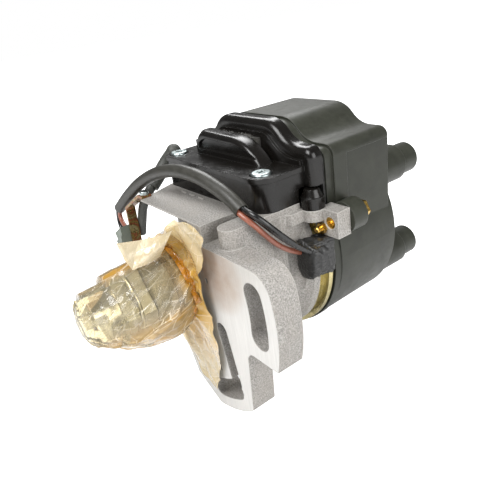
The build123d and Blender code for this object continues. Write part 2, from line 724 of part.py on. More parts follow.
def make_coupling():
    """Drive coupling with two flats and an offset tongue."""
    body = rod(COUPLING_R, COUPLING_END_Y, COUPLING_Y)
    body = chamfer(body.edges().group_by(Axis.Y)[0], 0.6)
    for side in (1, -1):
        body -= Pos(side * (COUPLING_FLAT + 10), PIN_Y, 0) * Box(20, COUPLING_L + 2, 40)
    nose = rod(TONGUE_R, TONGUE_END_Y, COUPLING_END_Y)
    tongue = block(-TONGUE_R - 1, TONGUE_R + 1, TONGUE_END_Y - 1, TONGUE_END_Y + TONGUE_DEPTH,
                   TONGUE_OFFSET - TONGUE_W / 2, TONGUE_OFFSET + TONGUE_W / 2)
    tip = rod(TONGUE_R, TONGUE_END_Y, TONGUE_END_Y + TONGUE_DEPTH) & tongue
    nose = nose - rod(TONGUE_R + 1, TONGUE_END_Y - 1, TONGUE_END_Y + TONGUE_DEPTH) + tip
    body += nose
    body -= rod(SHAFT_R, SHAFT_START_Y, COUPLING_Y + 1)
    body -= rod(PIN_R, -20, 20).rotate(Axis.X, 90).moved(Location((0, PIN_Y, 0)))
    body -= ring(COUPLING_R + 2, COUPLING_R - RING_WIRE_R, PIN_Y - RING_WIRE_R, PIN_Y + RING_WIRE_R)
    return spin(body, COUPLING_TURN)


def make_coupling_pin():
    half = COUPLING_R - RING_WIRE_R - 0.1
    pin = rod(PIN_R, -half, half).rotate(Axis.X, 90).moved(Location((0, PIN_Y, 0)))
    return spin(pin, COUPLING_TURN)


def make_pin_spring():
    hoop = revolve(Pos(COUPLING_R, PIN_Y) * Circle(RING_WIRE_R - 0.05), Axis.Y)
    return hoop


def make_trigger_wheel():
    """Signal rotor with one tooth for each cylinder."""
    face = Circle(TRIGGER_R)
    for i in range(TRIGGER_TEETH):
        tooth = Pos(TRIGGER_TOOTH_R / 2, 0) * Rectangle(TRIGGER_TOOTH_R, 4.6)
        face += Rot(0, 0, 360 / TRIGGER_TEETH * i) * tooth
    body = slab(face & Circle(TRIGGER_TOOTH_R), TRIGGER_Y, TRIGGER_Y + TRIGGER_T)
    body += rod(SHAFT_R + 2.6, TRIGGER_Y, ROTOR_Y - 0.1)
    return spin(body - rod(SHAFT_R, TRIGGER_Y - 1, ROTOR_Y + 1), 20)


def make_rotor_arm():
    """Moulded rotor that carries the spark from the centre to the posts."""
    hub = rod(ROTOR_HUB_R, ROTOR_Y, ROTOR_END_Y)
    arm = block(-ROTOR_HUB_R, ROTOR_ARM_R, ROTOR_END_Y - 6, ROTOR_END_Y, -ROTOR_ARM_W / 2, ROTOR_ARM_W / 2)
    arm = fillet(arm.edges().filter_by(Axis.Y), 3)
    return hub + arm - rod(SHAFT_R, ROTOR_Y - 1, SHAFT_END_Y)


def make_rotor_strip():
    reach = TOWER_PCD_R - POST_R - SPARK_GAP
    strip = block(-4, reach, ROTOR_END_Y, ROTOR_END_Y + STRIP_T, -STRIP_W / 2, STRIP_W / 2)
    nose = block(ROTOR_ARM_R + 0.1, reach, ROTOR_END_Y - 3, ROTOR_END_Y + 0.2, -STRIP_W / 2, STRIP_W / 2)
    return (strip + nose) & rod(reach, ROTOR_END_Y - 4, ROTOR_END_Y + STRIP_T)


# ---------------------------------------------------------------- coil base and cover
def base_outline(grow):
    """The coil base seen from above, square at the back and round at its front corners."""
    face = make_face(
        Polyline(
            (BASE_LEFT_X - grow, BASE_BACK_Y),
            (BASE_LEFT_X - grow, BASE_FRONT_Y - grow),
            (BASE_RIGHT_X + grow, BASE_FRONT_Y - grow),
            (BASE_RIGHT_X + grow, BASE_BACK_Y),
            close=True,
        )
    )
    right = near(face, BASE_RIGHT_X + grow, BASE_FRONT_Y - grow)
    face = fillet(right, BASE_CORNER_R + grow)
    left = near(face, BASE_LEFT_X - grow, BASE_FRONT_Y - grow)
    return chamfer(left, 3.5)


def make_coil_base():
    outer = extrude(Plane.XY.offset(SHELF_Z) * base_outline(0), amount=COVER_Z - SHELF_Z)
    inner = extrude(Plane.XY.offset(SHELF_Z + BASE_WALL) * base_outline(-BASE_WALL),
                    amount=COVER_Z)
    body = outer - (inner & block(-60, 60, 0, BASE_BACK_Y - BASE_WALL, 0, 60))
    for x, y in cover_screw_spots():
        body += post(3.2, x, y, SHELF_Z + 1, COVER_Z)
    return body - barrel_room() - vent_room()


def barrel_room():
    """Room behind the coil base's front wall for the round barrel and the shield's rim."""
    room = flare(FREE_GAP) + rod(SHIELD_RIM_R + FREE_GAP, MOUTH_Y, CAP_FACE_Y)
    return room & block(-2 * SIDE_X, 2 * SIDE_X, BASE_INNER_Y, CAP_FACE_Y, 0, 2 * SIDE_X)


def cover_screw_spots():
    y = BASE_FRONT_Y + 5.8
    return ((BASE_LEFT_X + 4.0, y), (BASE_RIGHT_X - 6.8, y))


def bump_face(inset):
    """The D-shaped end of the loaf on the cover, from its foot line."""
    x0, x1 = BUMP_LEFT_X + inset, BUMP_RIGHT_X - inset
    z0, z1 = COVER_TOP_Z - 0.5 + inset, COVER_TOP_Z + BUMP_H - inset
    left = (x0 + BUMP_TOP_FROM, z1)
    right = (x0 + BUMP_TOP_TO, z1 - 0.6)
    return make_face([
        Line((x0, z0), (x1, z0)),
        Line((x0, z0), (x0, z0 + 2)),
        TangentArc(left, (x0, z0 + 2), tangent=(-1, 0)),
        Line(left, right),
        TangentArc(right, (x1, z0), tangent=(1, 0)),
    ])


def make_coil_cover():
    """Glossy cover: a flat plate, the loaf on it and the saddle-shaped wall behind."""
    body = extrude(Plane.XY.offset(COVER_Z) * base_outline(COVER_LIP), amount=COVER_T)
    loaf = slab(bump_face(0), BUMP_FRONT_Y, BUMP_BACK_Y)
    rim = loaf.edges().group_by(Axis.Y)[0].filter_by_position(Axis.Z, COVER_TOP_Z, COVER_TOP_Z + BUMP_H + 1)
    loaf = fillet(rim, BUMP_EDGE_R)
    loaf -= slab(bump_face(BUMP_RIM), BUMP_FRONT_Y - 1, BUMP_FRONT_Y + BUMP_RECESS)
    body += loaf
    wall = slab(saddle(WALL_RISE, WALL_HALF, WALL_FOOT_Z), WALL_FRONT_Y, BASE_BACK_Y)
    front = wall.edges().group_by(Axis.Y)[0].filter_by_position(Axis.Z, WALL_FOOT_Z + 2, 90)
    body += fillet(front, WALL_EDGE_R)
    rib = offset(saddle(WALL_RISE, WALL_HALF, WALL_FOOT_Z), -WALL_RIB_INSET)
    body += slab(rib & Pos(0, COVER_TOP_Z + 20) * Rectangle(100, 40), WALL_FRONT_Y - WALL_RIB,
                 WALL_FRONT_Y + 0.5)
    body += post(BOSS_R, BUMP_LEFT_X - 2, BUMP_BACK_Y - 1.6, COVER_Z + 1, COVER_TOP_Z + BOSS_H)
    room = block(BASE_LEFT_X, BASE_RIGHT_X, BASE_FRONT_Y, BASE_BACK_Y + 1, 0, COVER_Z)
    body -= room
    for x, y in cover_screw_spots():
        body -= post(COVER_SCREW_R + 0.4, x, y, COVER_TOP_Z - COVER_SCREW_SINK, COVER_TOP_Z + 2)
    return body - barrel_room()


def make_cover_screws():
    units = []
    for x, y in cover_screw_spots():
        z = COVER_TOP_Z - COVER_SCREW_SINK
        head = post(COVER_SCREW_R, x, y, z, z + COVER_SCREW_T)
        head = fillet(head.edges().group_by(Axis.Z)[-1], 0.9)
        for turn in (25, 115):
            head -= Pos(x, y, z + COVER_SCREW_T) * Rot(0, 0, turn) * Box(3.6, 0.9, 1.6)
        units.append(head)
    return Compound(units)


def make_potting():
    """Rough potting compound that shows between the loaf and the wall."""
    return block(POTTING_FROM_X, POTTING_TO_X, BUMP_BACK_Y + 0.05, WALL_FRONT_Y - WALL_RIB - 0.05,
                 COVER_TOP_Z, COVER_TOP_Z + BUMP_H - POTTING_DROP)


def make_vent_plug():
    z1 = LUG_BLOCK_TOP + VENT_H
    body = post(VENT_R, VENT_X, VENT_Y, LUG_BLOCK_TOP, z1)
    cone = Pos(VENT_X, VENT_Y, z1 + VENT_TOP_H / 2) * Cone(VENT_R - 0.5, VENT_R - 1.6, VENT_TOP_H)
    return body + cone


def make_ground_stud():
    y1 = LUG_BLOCK_FRONT
    nut = slab(Pos(STUD_X, STUD_Z) * RegularPolygon(STUD_NUT_R, 6), y1 - STUD_NUT_T, y1)
    tip = rod(STUD_R, y1 - STUD_L, y1 + 2.5, STUD_X, STUD_Z)
    return nut + chamfer(tip.edges().group_by(Axis.Y)[0], 0.3)


# ---------------------------------------------------------------- harness
SLEEVE_ROUTE = (
    (32.7, 12.0, 33.0),
    (24.1, 12.0, 37.4),
    (9.8, 11.0, 41.9),
    (-7.1, 10.0, 42.2),
    (-23.0, 8.5, 38.6),
    (-37.7, 6.5, 31.9),
    (-50.0, 5.0, 24.2),
    (-61.1, 3.5, 15.9),
)
BROWN_ROUTE = (
    (36.5, 11.7, 30.2),
    (38.0, 14.0, 26.9),
    (38.2, 17.5, 22.3),
    (38.2, 21.6, 17.7),
    (38.1, 26.6, 13.6),
    (38.0, 31.4, 10.9),
    (37.9, BOOT_FRONT_Y + 3.0, 9.5),
)
BLACK_ROUTE_1 = (
    (37.7, 13.8, 31.0),
    (39.8, 16.2, 27.6),
    (40.3, 20.2, 22.9),
    (40.4, 25.0, 18.1),
    (40.4, 29.8, 13.9),
    (40.4, BOOT_FRONT_Y + 3.0, 10.8),
)
BLACK_ROUTE_2 = (
    (38.9, 12.3, 32.8),
    (41.6, 14.8, 29.6),
    (42.7, 18.7, 25.0),
    (42.8, 23.6, 19.7),
    (42.9, 28.6, 14.9),
    (42.9, BOOT_FRONT_Y + 3.0, 10.6),
)
BLACK_TAIL = (
    (-64.4, 3.0, 12.4),
    (-64.6, 2.7, 9.0),
    (-63.2, 2.3, 5.8),
    (-60.4, 1.9, 3.5),
    (-57.4, 1.5, 1.8),
)
BROWN_TAIL = (
    (-62.4, 3.1, 12.5),
    (-61.5, 2.8, 10.2),
    (-59.0, 2.4, 8.8),
    (-56.1, 2.1, 7.8),
    (-53.5, 1.8, 6.0),
)
SOCK_ROUTE = (
    (-40.3, 28.0, 40.6),
    (-43.4, 24.6, 36.0),
    (-43.9, 19.8, 31.0),
    (-43.2, 14.6, 26.9),
)
LEAD_ROUTE = (
    (-43.6, 10.6, 22.6),
    (-46.6, 9.3, 17.6),
    (-50.4, 9.0, 10.4),
    (-54.2, 8.8, 2.6),
)


def make_sleeve():
    """Grey sleeve round the leads, open for a short way at each end."""
    body, path, radii = lead(SLEEVE_R, *SLEEVE_ROUTE)
    print("sleeve radii", [round(r, 1) for r in radii], "length", round(path.length, 1))
    for place, way in ((path @ 0, path % 0), (path @ 1, (path % 1) * -1)):
        body -= Plane(origin=place, z_dir=way) * Cylinder(SLEEVE_R - SLEEVE_WALL, 2 * SLEEVE_MOUTH)
    return body


def from_sleeve(end, side, up, route):
    """A wire's route, from its place in the sleeve's mouth."""
    first, second = (0, 1) if end == 0 else (-1, -2)
    mouth = Vector(*SLEEVE_ROUTE[first])
    out = (mouth - Vector(*SLEEVE_ROUTE[second])).normalized()
    level = Vector(0, 1, 0)
    rise = level.cross(out).normalized() * (-1 if end == 0 else 1)
    seat = mouth + level * side + rise * up
    return (seat - out * WIRE_INSET, seat + out * 1.0) + tuple(Vector(*p) for p in route)


def from_sock(route):
    """The coil lead's route, from its place in the sock."""
    end = Vector(*SOCK_ROUTE[-1])
    out = (end - Vector(*SOCK_ROUTE[-2])).normalized()
    return (end - out * WIRE_INSET, end + out * 1.5) + tuple(Vector(*p) for p in route)


def make_wire(route, name, radius=WIRE_R):
    body, path, radii = lead(radius, *route)
    print(name, "radii", [round(r, 1) for r in radii], "length", round(path.length, 1))
    return body


def lead_hole(route):
    """The hole that a wire's last run leaves in the piece it enters."""
    way = Vector(*route[-2]) - Vector(*route[-1])
    end = Vector(*route[-1]) - way.normalized() * 0.05
    return Plane(origin=end, z_dir=way) * Cylinder(
        WIRE_R + 0.05, 30, align=(Align.CENTER, Align.CENTER, Align.MIN))


def make_boot():
    """Taped boot where the leads enter the barrel's side."""
    body = block(SIDE_X, SIDE_X + BOOT_OUT, BOOT_FRONT_Y, BOOT_BACK_Y, BOOT_FOOT_Z, BOOT_TOP_Z)
    body = fillet(body.edges().filter_by(Axis.Y), BOOT_EDGE_R)
    body -= flare(FREE_GAP)
    body -= rod(LUG_ROOM_R, MOUTH_Y - 0.1, BOOT_BACK_Y + 1)
    body -= slab(offset(lug_face(), FREE_GAP), LUG_BLOCK_FRONT - FREE_GAP, BOOT_BACK_Y + 1)
    for route in (BROWN_ROUTE, BLACK_ROUTE_1, BLACK_ROUTE_2):
        body -= lead_hole(route)
    return body


def make_lead_sock():
    """Rubber sock on the coil lead, from its knob on the coil base."""
    body, path, radii = lead(LEAD_SOCK_R, *SOCK_ROUTE)
    print("sock radii", [round(r, 1) for r in radii])
    knob = Pos(*SOCK_ROUTE[0]) * Sphere(LEAD_SOCK_R + 0.2)
    mouth = Plane(origin=path @ 1, z_dir=(path % 1) * -1)
    return body + knob - mouth * Cylinder(LEAD_R + 0.05, 8)


def bracket_line():
    """The bracket's bent line in X and Z, from the shelf to the plug."""
    z0 = SHELF_Z + BRACKET_T / 2
    start = (SHELF_LEFT_X - 0.5, z0)
    return FilletPolyline(start, (SHELF_LEFT_X - 4.5, z0), (BRACKET_KNEE_X, BRACKET_KNEE_Z),
                          (BRACKET_END_X, BRACKET_END_Z), radius=2.0)


def bracket_strip(grow):
    """The bracket's strip, thicker by grow on each side."""
    return slab(trace(bracket_line(), BRACKET_T + 2 * grow), BRACKET_Y - grow,
                BRACKET_Y + BRACKET_W + grow)


def make_bracket():
    """Plated strip from the shelf to the harness plug."""
    return bracket_strip(0)


def make_bracket_screw():
    """Screw that holds the bracket's tab on the shelf, under the coil lead."""
    x, y = SHELF_LEFT_X - 2.4, BRACKET_Y + BRACKET_W / 2
    z = SHELF_Z + BRACKET_T
    head = post(2.0, x, y, z, z + 1.6)
    return fillet(head.edges().group_by(Axis.Z)[-1], 0.6)


def make_plug():
    """Harness plug on the bracket's lower end."""
    body = Box(PLUG_W, PLUG_D, PLUG_H)
    body = fillet(body.edges().filter_by(Axis.Z), 1.2)
    body += Pos(0, 0, PLUG_H / 2 - 5) * Box(PLUG_W + 1.0, PLUG_D + 1.0, 2.4)
    body = Pos(PLUG_X, PLUG_Y, PLUG_Z) * Rot(0, -PLUG_TILT, 0) * body
    body -= inside_leg()
    for route in (BLACK_TAIL, BROWN_TAIL):
        body -= lead_hole(route)
    return body


def inside_leg():
    """Everything on the inner side of the outer face of the bracket's leg."""
    knee, end = Vector(BRACKET_KNEE_X, BRACKET_KNEE_Z), Vector(BRACKET_END_X, BRACKET_END_Z)
    along = (end - knee).normalized()
    out = Vector(along.Y, -along.X) * (BRACKET_T / 2)
    top, foot = knee + out - along * PLUG_W, end + out + along * PLUG_W
    inner = Vector(PLUG_W * 2, 0)
    return slab(make_face(Polyline(top, foot, foot + inner, top + inner, close=True)), -PLUG_W, PLUG_W)


# ---------------------------------------------------------------- protective film
def film_bag(shrink):
    """The film's bag over the drive end, smaller by shrink all round."""
    s = shrink
    return turned(
        (0, FILM_END_Y + s),
        (6.0 - s, FILM_END_Y + s),
        (11.4 - s, FILM_END_Y + 3.2 + s / 2),
        (FILM_R - 2.2 - s, -34.0),
        (FILM_R - s, -25.5),
        (FILM_R + 0.8 - s, -16.0),
        (FILM_R - s, -8.0),
        (FILM_NECK_R - s, -6.4),
        (FILM_NECK_R - s, FILM_FACE_Y),
        (0, FILM_FACE_Y),
    )


def flap(*corners):
    """A flat piece of the film's loose skirt, with rounded corners."""
    face = make_face(Polyline(*corners, close=True))
    return slab(fillet(face.vertices(), 2.0), FILM_FLAP_Y - FILM_T, FILM_FLAP_Y)


def make_film():
    """Film bag over the drive end, with the loose skirt beyond its band."""
    upper = flap((-50, 1.5), (-12, 17.5), (13, 29.6), (30, 33), (33, 24.5), (22, 6), (-12, -10))
    lower = flap((-12, 6), (22, 6), (24, -8), (25, -24), (17, -38), (14, -50), (4, -46))
    bag = film_bag(0) + upper + lower - film_bag(FILM_T)
    return bag - rod(SPIGOT_R + FILM_ROOM, FILM_FLAP_Y - 4, 0)


def make_band():
    """Twisted band that holds the film's neck."""
    return ring(FILM_NECK_R + BAND_T, FILM_NECK_R, FILM_FACE_Y - BAND_W, FILM_FACE_Y - 0.2)


NODES = {
    "housing": make_housing,
    "spigot_oring": make_spigot_oring,
    "front_bush": make_front_bush,
    "oil_seal": make_oil_seal,
    "rear_bearing": make_rear_bearing,
    "shield_plate": make_shield_plate,
    "pickups": make_pickups,
    "cap_gasket": make_cap_gasket,
    "cap": make_cap,
    "ignition_coil": make_coil,
    "cap_terminals": make_terminals,
    "carbon_brush": make_brush,
    "brush_spring": make_brush_spring,
    "cap_screws": make_cap_screws,
    "drive_shaft": make_shaft,
    "shaft_circlip": make_circlip,
    "drive_coupling": make_coupling,
    "coupling_pin": make_coupling_pin,
    "pin_spring_ring": make_pin_spring,
    "trigger_wheel": make_trigger_wheel,
    "rotor_arm": make_rotor_arm,
    "rotor_strip": make_rotor_strip,
    "coil_base": make_coil_base,
    "coil_cover": make_coil_cover,
    "cover_screws": make_cover_screws,
    "coil_potting": make_potting,
    "vent_plug": make_vent_plug,
    "ground_stud": make_ground_stud,
    "harness_sleeve": make_sleeve,
    "harness_boot": make_boot,
    "lead_sock": make_lead_sock,
    "plug_bracket": make_bracket,
    "bracket_screw": make_bracket_screw,
    "harness_plug": make_plug,
    "protective_film": make_film,
    "film_band": make_band,
}

WIRES = {
    "wire_brown": from_sleeve(0, -WIRE_SPREAD, -WIRE_DROP, BROWN_ROUTE),
    "wire_black_1": from_sleeve(0, WIRE_SPREAD, -WIRE_DROP, BLACK_ROUTE_1),
    "wire_black_2": from_sleeve(0, 0, WIRE_RISE, BLACK_ROUTE_2),
    "tail_black": from_sleeve(1, 0, WIRE_SPREAD, BLACK_TAIL),
    "tail_brown": from_sleeve(1, 0, -WIRE_SPREAD, BROWN_TAIL),
}

os.makedirs("parts", exist_ok=True)
for name, make in NODES.items():
    export_step(make(), f"parts/{name}.step")
for name, route in WIRES.items():
    export_step(make_wire(route, name), f"parts/{name}.step")
export_step(make_wire(from_sock(LEAD_ROUTE), "coil_lead", LEAD_R), "parts/coil_lead.step")
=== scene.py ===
"""Ignition distributor with a built-in coil: finishes, film wrap, taped boot, potting and studio.

Sizes and places are in millimetres and angles in degrees, unless a name or docstring says otherwise.
"""

import logging
import math
from dataclasses import dataclass
from enum import Enum
from functools import partial
from typing import Callable, Iterable, Sequence

import bmesh
import bpy
from mathutils import Matrix, Vector, noise

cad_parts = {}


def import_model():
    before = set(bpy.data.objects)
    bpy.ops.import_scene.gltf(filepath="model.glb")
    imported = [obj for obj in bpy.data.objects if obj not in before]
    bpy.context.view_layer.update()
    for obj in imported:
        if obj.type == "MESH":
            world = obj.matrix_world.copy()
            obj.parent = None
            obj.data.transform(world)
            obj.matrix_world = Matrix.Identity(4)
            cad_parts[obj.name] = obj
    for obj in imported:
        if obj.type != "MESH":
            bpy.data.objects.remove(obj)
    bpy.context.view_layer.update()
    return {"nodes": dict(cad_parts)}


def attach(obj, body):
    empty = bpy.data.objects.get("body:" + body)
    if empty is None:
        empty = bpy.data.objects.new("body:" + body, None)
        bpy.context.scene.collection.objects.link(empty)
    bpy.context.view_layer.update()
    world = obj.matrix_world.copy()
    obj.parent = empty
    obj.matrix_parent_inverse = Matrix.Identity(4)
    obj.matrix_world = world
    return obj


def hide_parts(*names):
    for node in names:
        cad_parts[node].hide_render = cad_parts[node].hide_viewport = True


LOG = logging.getLogger("distributor")
MM = 0.001  # metres in a millimetre
NECK_R = 15.3  # radius of the film's neck
SLACK_X, SLACK_Z = 0.5, -0.866  # the way that the film hangs slack off the metal
MIX_FACTOR, MIX_A, MIX_B, MIX_RESULT = 0, 6, 7, 2  # the colour sockets of Blender's Mix node
Socket = bpy.types.NodeSocket
Colour = tuple[float, float, float]
Point = tuple[float, float, float]
Pair = tuple[float, float]
Keys = tuple[Pair, ...]
MADE: dict[str, bpy.types.Material] = {}  # each finish's material, by its name


class Body(Enum):
    """Rigid bodies that the pieces made here move with."""

    FIXED = "distributor"
    FILM = "film"


# ------------------------------------------------------------------ shader graph
class ShaderGraph:
    """One material's node tree, with short calls for the nodes that the finishes use."""

    def __init__(self, name: str) -> None:
        """Start a material with one Principled shader.

        Args:
            name: The material's name.
        """
        self.material = bpy.data.materials.new(name)
        self.material.use_nodes = True
        self.tree = self.material.node_tree
        self.tree.nodes.clear()
        self.out = self.tree.nodes.new("ShaderNodeOutputMaterial")
        self.bsdf = self.tree.nodes.new("ShaderNodeBsdfPrincipled")
        self.tree.links.new(self.bsdf.outputs[0], self.out.inputs["Surface"])
        self.coords = self.tree.nodes.new("ShaderNodeTexCoord").outputs["Object"]

    def put(self, **values: object) -> None:
        """Set or link sockets of the Principled shader, named with underscores."""
        for key, value in values.items():
            self.feed(self.bsdf.inputs[key.replace("_", " ")], value)

    def feed(self, socket: Socket, value: object) -> None:
        """Link a socket to a node's output, or set its constant.

        Args:
            socket: The input to fill.
            value: An output socket, a number or a colour.
        """
        if isinstance(value, Socket):
            self.tree.links.new(value, socket)
        elif isinstance(value, tuple) and len(value) == 3 and socket.type == "RGBA":
            socket.default_value = (*value, 1.0)
        else:
            socket.default_value = value

    def node(self, kind: str, **props: object) -> bpy.types.Node:
        """Add a node and set its properties.

        Args:
            kind: Blender's name of the node type.
            props: Properties and their values.

        Returns:
            The node.
        """
        made = self.tree.nodes.new(kind)
        for key, value in props.items():
            setattr(made, key, value)
        return made

    def stretch(self, scale: Point, turn: Point = (0.0, 0.0, 0.0)) -> Socket:
        """Object coordinates, scaled by axis and turned.

        Args:
            scale: Scale by axis: a pattern runs long where it is small.
            turn: Angles about X, Y and Z in radians.

        Returns:
            The coordinates' output.
        """
        made = self.node("ShaderNodeMapping")
        self.feed(made.inputs["Vector"], self.coords)
        made.inputs["Scale"].default_value = scale
        made.inputs["Rotation"].default_value = turn
        return made.outputs[0]

    def streaks(self, turn: Point, length: float) -> Socket:
        """Object coordinates for marks that run long along the turned Y axis.

        Args:
            turn: Angles about X, Y and Z in radians.
            length: How many times longer than wide the marks are.

        Returns:
            The coordinates' output.
        """
        made = self.node("ShaderNodeMapping", vector_type="TEXTURE")
        self.feed(made.inputs["Vector"], self.coords)
        made.inputs["Scale"].default_value = (1.0, length, 1.0)
        made.inputs["Rotation"].default_value = turn
        return made.outputs[0]

    def creases(self, size_mm: float, width: float, at: Socket) -> Socket:
        """Thin straight creases between flat facets."""
        return self.span(self.cells(size_mm, "DISTANCE_TO_EDGE", at), 0.0, width, 1.0, 0.0)

    def shades(self, size_mm: float, at: Socket) -> Socket:
        """One even shade for each facet, from 0 to 1.

        Args:
            size_mm: Size of a facet.
            at: Coordinates.

        Returns:
            The shade's output.
        """
        made = self.node("ShaderNodeTexVoronoi")
        self.feed(made.inputs["Vector"], at)
        made.inputs["Scale"].default_value = 1.0 / (size_mm * MM)
        return self.plus(made.outputs["Color"], 0.0)  # the sum turns the colour into a number

    def noise(self, size_mm: float, detail: float = 3.0, rough: float = 0.55, warp: float = 0.0,
              at: Socket | None = None) -> Socket:
        """Cloud noise.

        Args:
            size_mm: Size of its largest spots.
            detail: Number of finer octaves.
            rough: Share of the finer octaves.
            warp: Distortion of the pattern.
            at: Coordinates, or None for the object's own.

        Returns:
            The factor's output.
        """
        made = self.node("ShaderNodeTexNoise")
        self.feed(made.inputs["Vector"], at or self.coords)
        made.inputs["Scale"].default_value = 1.0 / (size_mm * MM)
        made.inputs["Detail"].default_value = detail
        made.inputs["Roughness"].default_value = rough
        made.inputs["Distortion"].default_value = warp
        return made.outputs["Fac"]

    def cells(self, size_mm: float, feature: str = "F1", at: Socket | None = None) -> Socket:
        """Voronoi distance, for grains and creases.

        Args:
            size_mm: Size of a cell.
            feature: What the distance is measured to, in Blender's words.
            at: Coordinates, or None for the object's own.

        Returns:
            The distance's output.
        """
        made = self.node("ShaderNodeTexVoronoi", feature=feature)
        self.feed(made.inputs["Vector"], at or self.coords)
        made.inputs["Scale"].default_value = 1.0 / (size_mm * MM)
        return made.outputs["Distance"]

    def ramp(self, fac: Socket, *stops: tuple[float, Colour]) -> Socket:
        """Colours along a factor.

        Args:
            fac: The factor.
            stops: Pairs of place and colour.

        Returns:
            The colour's output.
        """
        made = self.node("ShaderNodeValToRGB")
        self.feed(made.inputs["Fac"], fac)
        band = made.color_ramp.elements
        while len(band) < len(stops):
            band.new(0.5)
        for element, (place, colour) in zip(band, stops):
            element.position = place
            element.color = (*colour, 1.0)
        return made.outputs["Color"]

    def span(self, fac: Socket, low: float, high: float, a: float, b: float) -> Socket:
        """Map a factor from low..high to a..b, clamped.

        Args:
            fac: The factor.
            low: Its value that gives a.
            high: Its value that gives b.
            a: The first result.
            b: The last result.

        Returns:
            The result's output.
        """
        made = self.node("ShaderNodeMapRange", clamp=True)
        for key, value in zip(("Value", "From Min", "From Max", "To Min", "To Max"),
                              (fac, low, high, a, b)):
            self.feed(made.inputs[key], value)
        return made.outputs[0]

    def between(self, way: Socket, ends: Pair, a: float, b: float) -> Socket:
        """Go from a to b between two places in millimetres, clamped."""
        return self.span(way, ends[0] * MM, ends[1] * MM, a, b)

    def maths(self, kind: str, a: object, b: object = 0.0) -> Socket:
        """One step of arithmetic on two values.

        Args:
            kind: Blender's name of the operation.
            a: A number or an output.
            b: A number or an output, unused where the operation takes one.

        Returns:
            The result's output.
        """
        made = self.node("ShaderNodeMath", operation=kind)
        self.feed(made.inputs[0], a)
        self.feed(made.inputs[1], b)
        return made.outputs[0]

    def plus(self, a: object, b: object) -> Socket:
        """The sum of two values."""
        return self.maths("ADD", a, b)

    def times(self, a: object, b: object) -> Socket:
        """The product of two values."""
        return self.maths("MULTIPLY", a, b)

    def most(self, a: object, b: object) -> Socket:
        """The larger of two values."""
        return self.maths("MAXIMUM", a, b)

    def squared(self, a: object) -> Socket:
        """A value times itself."""
        return self.maths("POWER", a, 2.0)

    def mix(self, fac: object, a: object, b: object) -> Socket:
        """Mix two colours by a factor.

        Args:
            fac: Share of b, a number or an output.
            a: A colour or an output.
            b: A colour or an output.

        Returns:
            The colour's output.
        """
        made = self.node("ShaderNodeMix", data_type="RGBA")
        self.feed(made.inputs[MIX_FACTOR], fac)
        self.feed(made.inputs[MIX_A], a)
        self.feed(made.inputs[MIX_B], b)
        return made.outputs[MIX_RESULT]

    def place(self) -> tuple[Socket, ...]:
        """The X, Y and Z of the point, in metres.

        Returns:
            Three outputs.
        """
        made = self.node("ShaderNodeSeparateXYZ")
        self.feed(made.inputs[0], self.coords)
        return tuple(made.outputs)

    def facing(self) -> tuple[Socket, ...]:
        """The X, Y and Z of the surface's normal.

        Returns:
            Three outputs.
        """
        shape = self.node("ShaderNodeNewGeometry")
        made = self.node("ShaderNodeSeparateXYZ")
        self.feed(made.inputs[0], shape.outputs["Normal"])
        return tuple(made.outputs)

    def edges(self, radius_mm: float) -> Socket:
        """Normals rounded at sharp edges.

        Args:
            radius_mm: Radius of the rounding.

        Returns:
            The normal's output.
        """
        made = self.node("ShaderNodeBevel", samples=4)
        made.inputs["Radius"].default_value = radius_mm * MM
        return made.outputs[0]

    def wear(self, radius_mm: float, lean: Pair = (0.82, 0.995)) -> Socket:
        """A mask of 1 near sharp edges.

        Args:
            radius_mm: Reach of the wear from the edge.
            lean: Cosines of the rounded normal's lean, at full wear and at none.

        Returns:
            The mask's output.
        """
        dot = self.node("ShaderNodeVectorMath", operation="DOT_PRODUCT")
        self.feed(dot.inputs[0], self.edges(radius_mm))
        shape = self.node("ShaderNodeNewGeometry")
        self.feed(dot.inputs[1], shape.outputs["Normal"])
        return self.span(dot.outputs["Value"], *lean, 1.0, 0.0)

    def veil(self, alpha: Socket, tint: Colour, gloss: float, ior: float = 1.28,
             least: float = 0.02) -> None:
        """Let what lies behind show through, tinted, under a thin gloss.

        Args:
            alpha: Share of the Principled shader.
            tint: Colour of what shows through.
            gloss: Roughness of the gloss on top.
            ior: Refractive index that sets how the gloss grows towards the rim.
            least: Share of the gloss that is added everywhere.
        """
        through = self.node("ShaderNodeBsdfTransparent")
        self.feed(through.inputs["Color"], tint)
        body = self.node("ShaderNodeMixShader")
        self.feed(body.inputs[0], alpha)
        self.tree.links.new(through.outputs[0], body.inputs[1])
        self.tree.links.new(self.bsdf.outputs[0], body.inputs[2])
        shine = self.node("ShaderNodeBsdfAnisotropic")
        shine.inputs["Roughness"].default_value = gloss
        if self.bsdf.inputs["Normal"].is_linked:
            self.feed(shine.inputs["Normal"], self.bsdf.inputs["Normal"].links[0].from_socket)
        rim = self.node("ShaderNodeFresnel")
        rim.inputs["IOR"].default_value = ior
        top = self.node("ShaderNodeMixShader")
        self.feed(top.inputs[0], self.plus(rim.outputs[0], least))
        self.tree.links.new(body.outputs[0], top.inputs[1])
        self.tree.links.new(shine.outputs[0], top.inputs[2])
        self.tree.links.new(top.outputs[0], self.out.inputs["Surface"])

    def bump(self, height: Socket, depth_mm: float, strength: float = 1.0,
             normal: Socket | None = None) -> Socket:
        """A bumped normal from a height.

        Args:
            height: The height, from 0 to 1.
            depth_mm: What a height of 1 stands for.
            strength: Strength of the bumps.
            normal: The normal to bump, or None for the surface's own.

        Returns:
            The normal's output.
        """
        made = self.node("ShaderNodeBump")
        made.inputs["Strength"].default_value = strength
        made.inputs["Distance"].default_value = depth_mm * MM
        self.feed(made.inputs["Height"], height)
        if normal is not None:
            self.feed(made.inputs["Normal"], normal)
        return made.outputs[0]


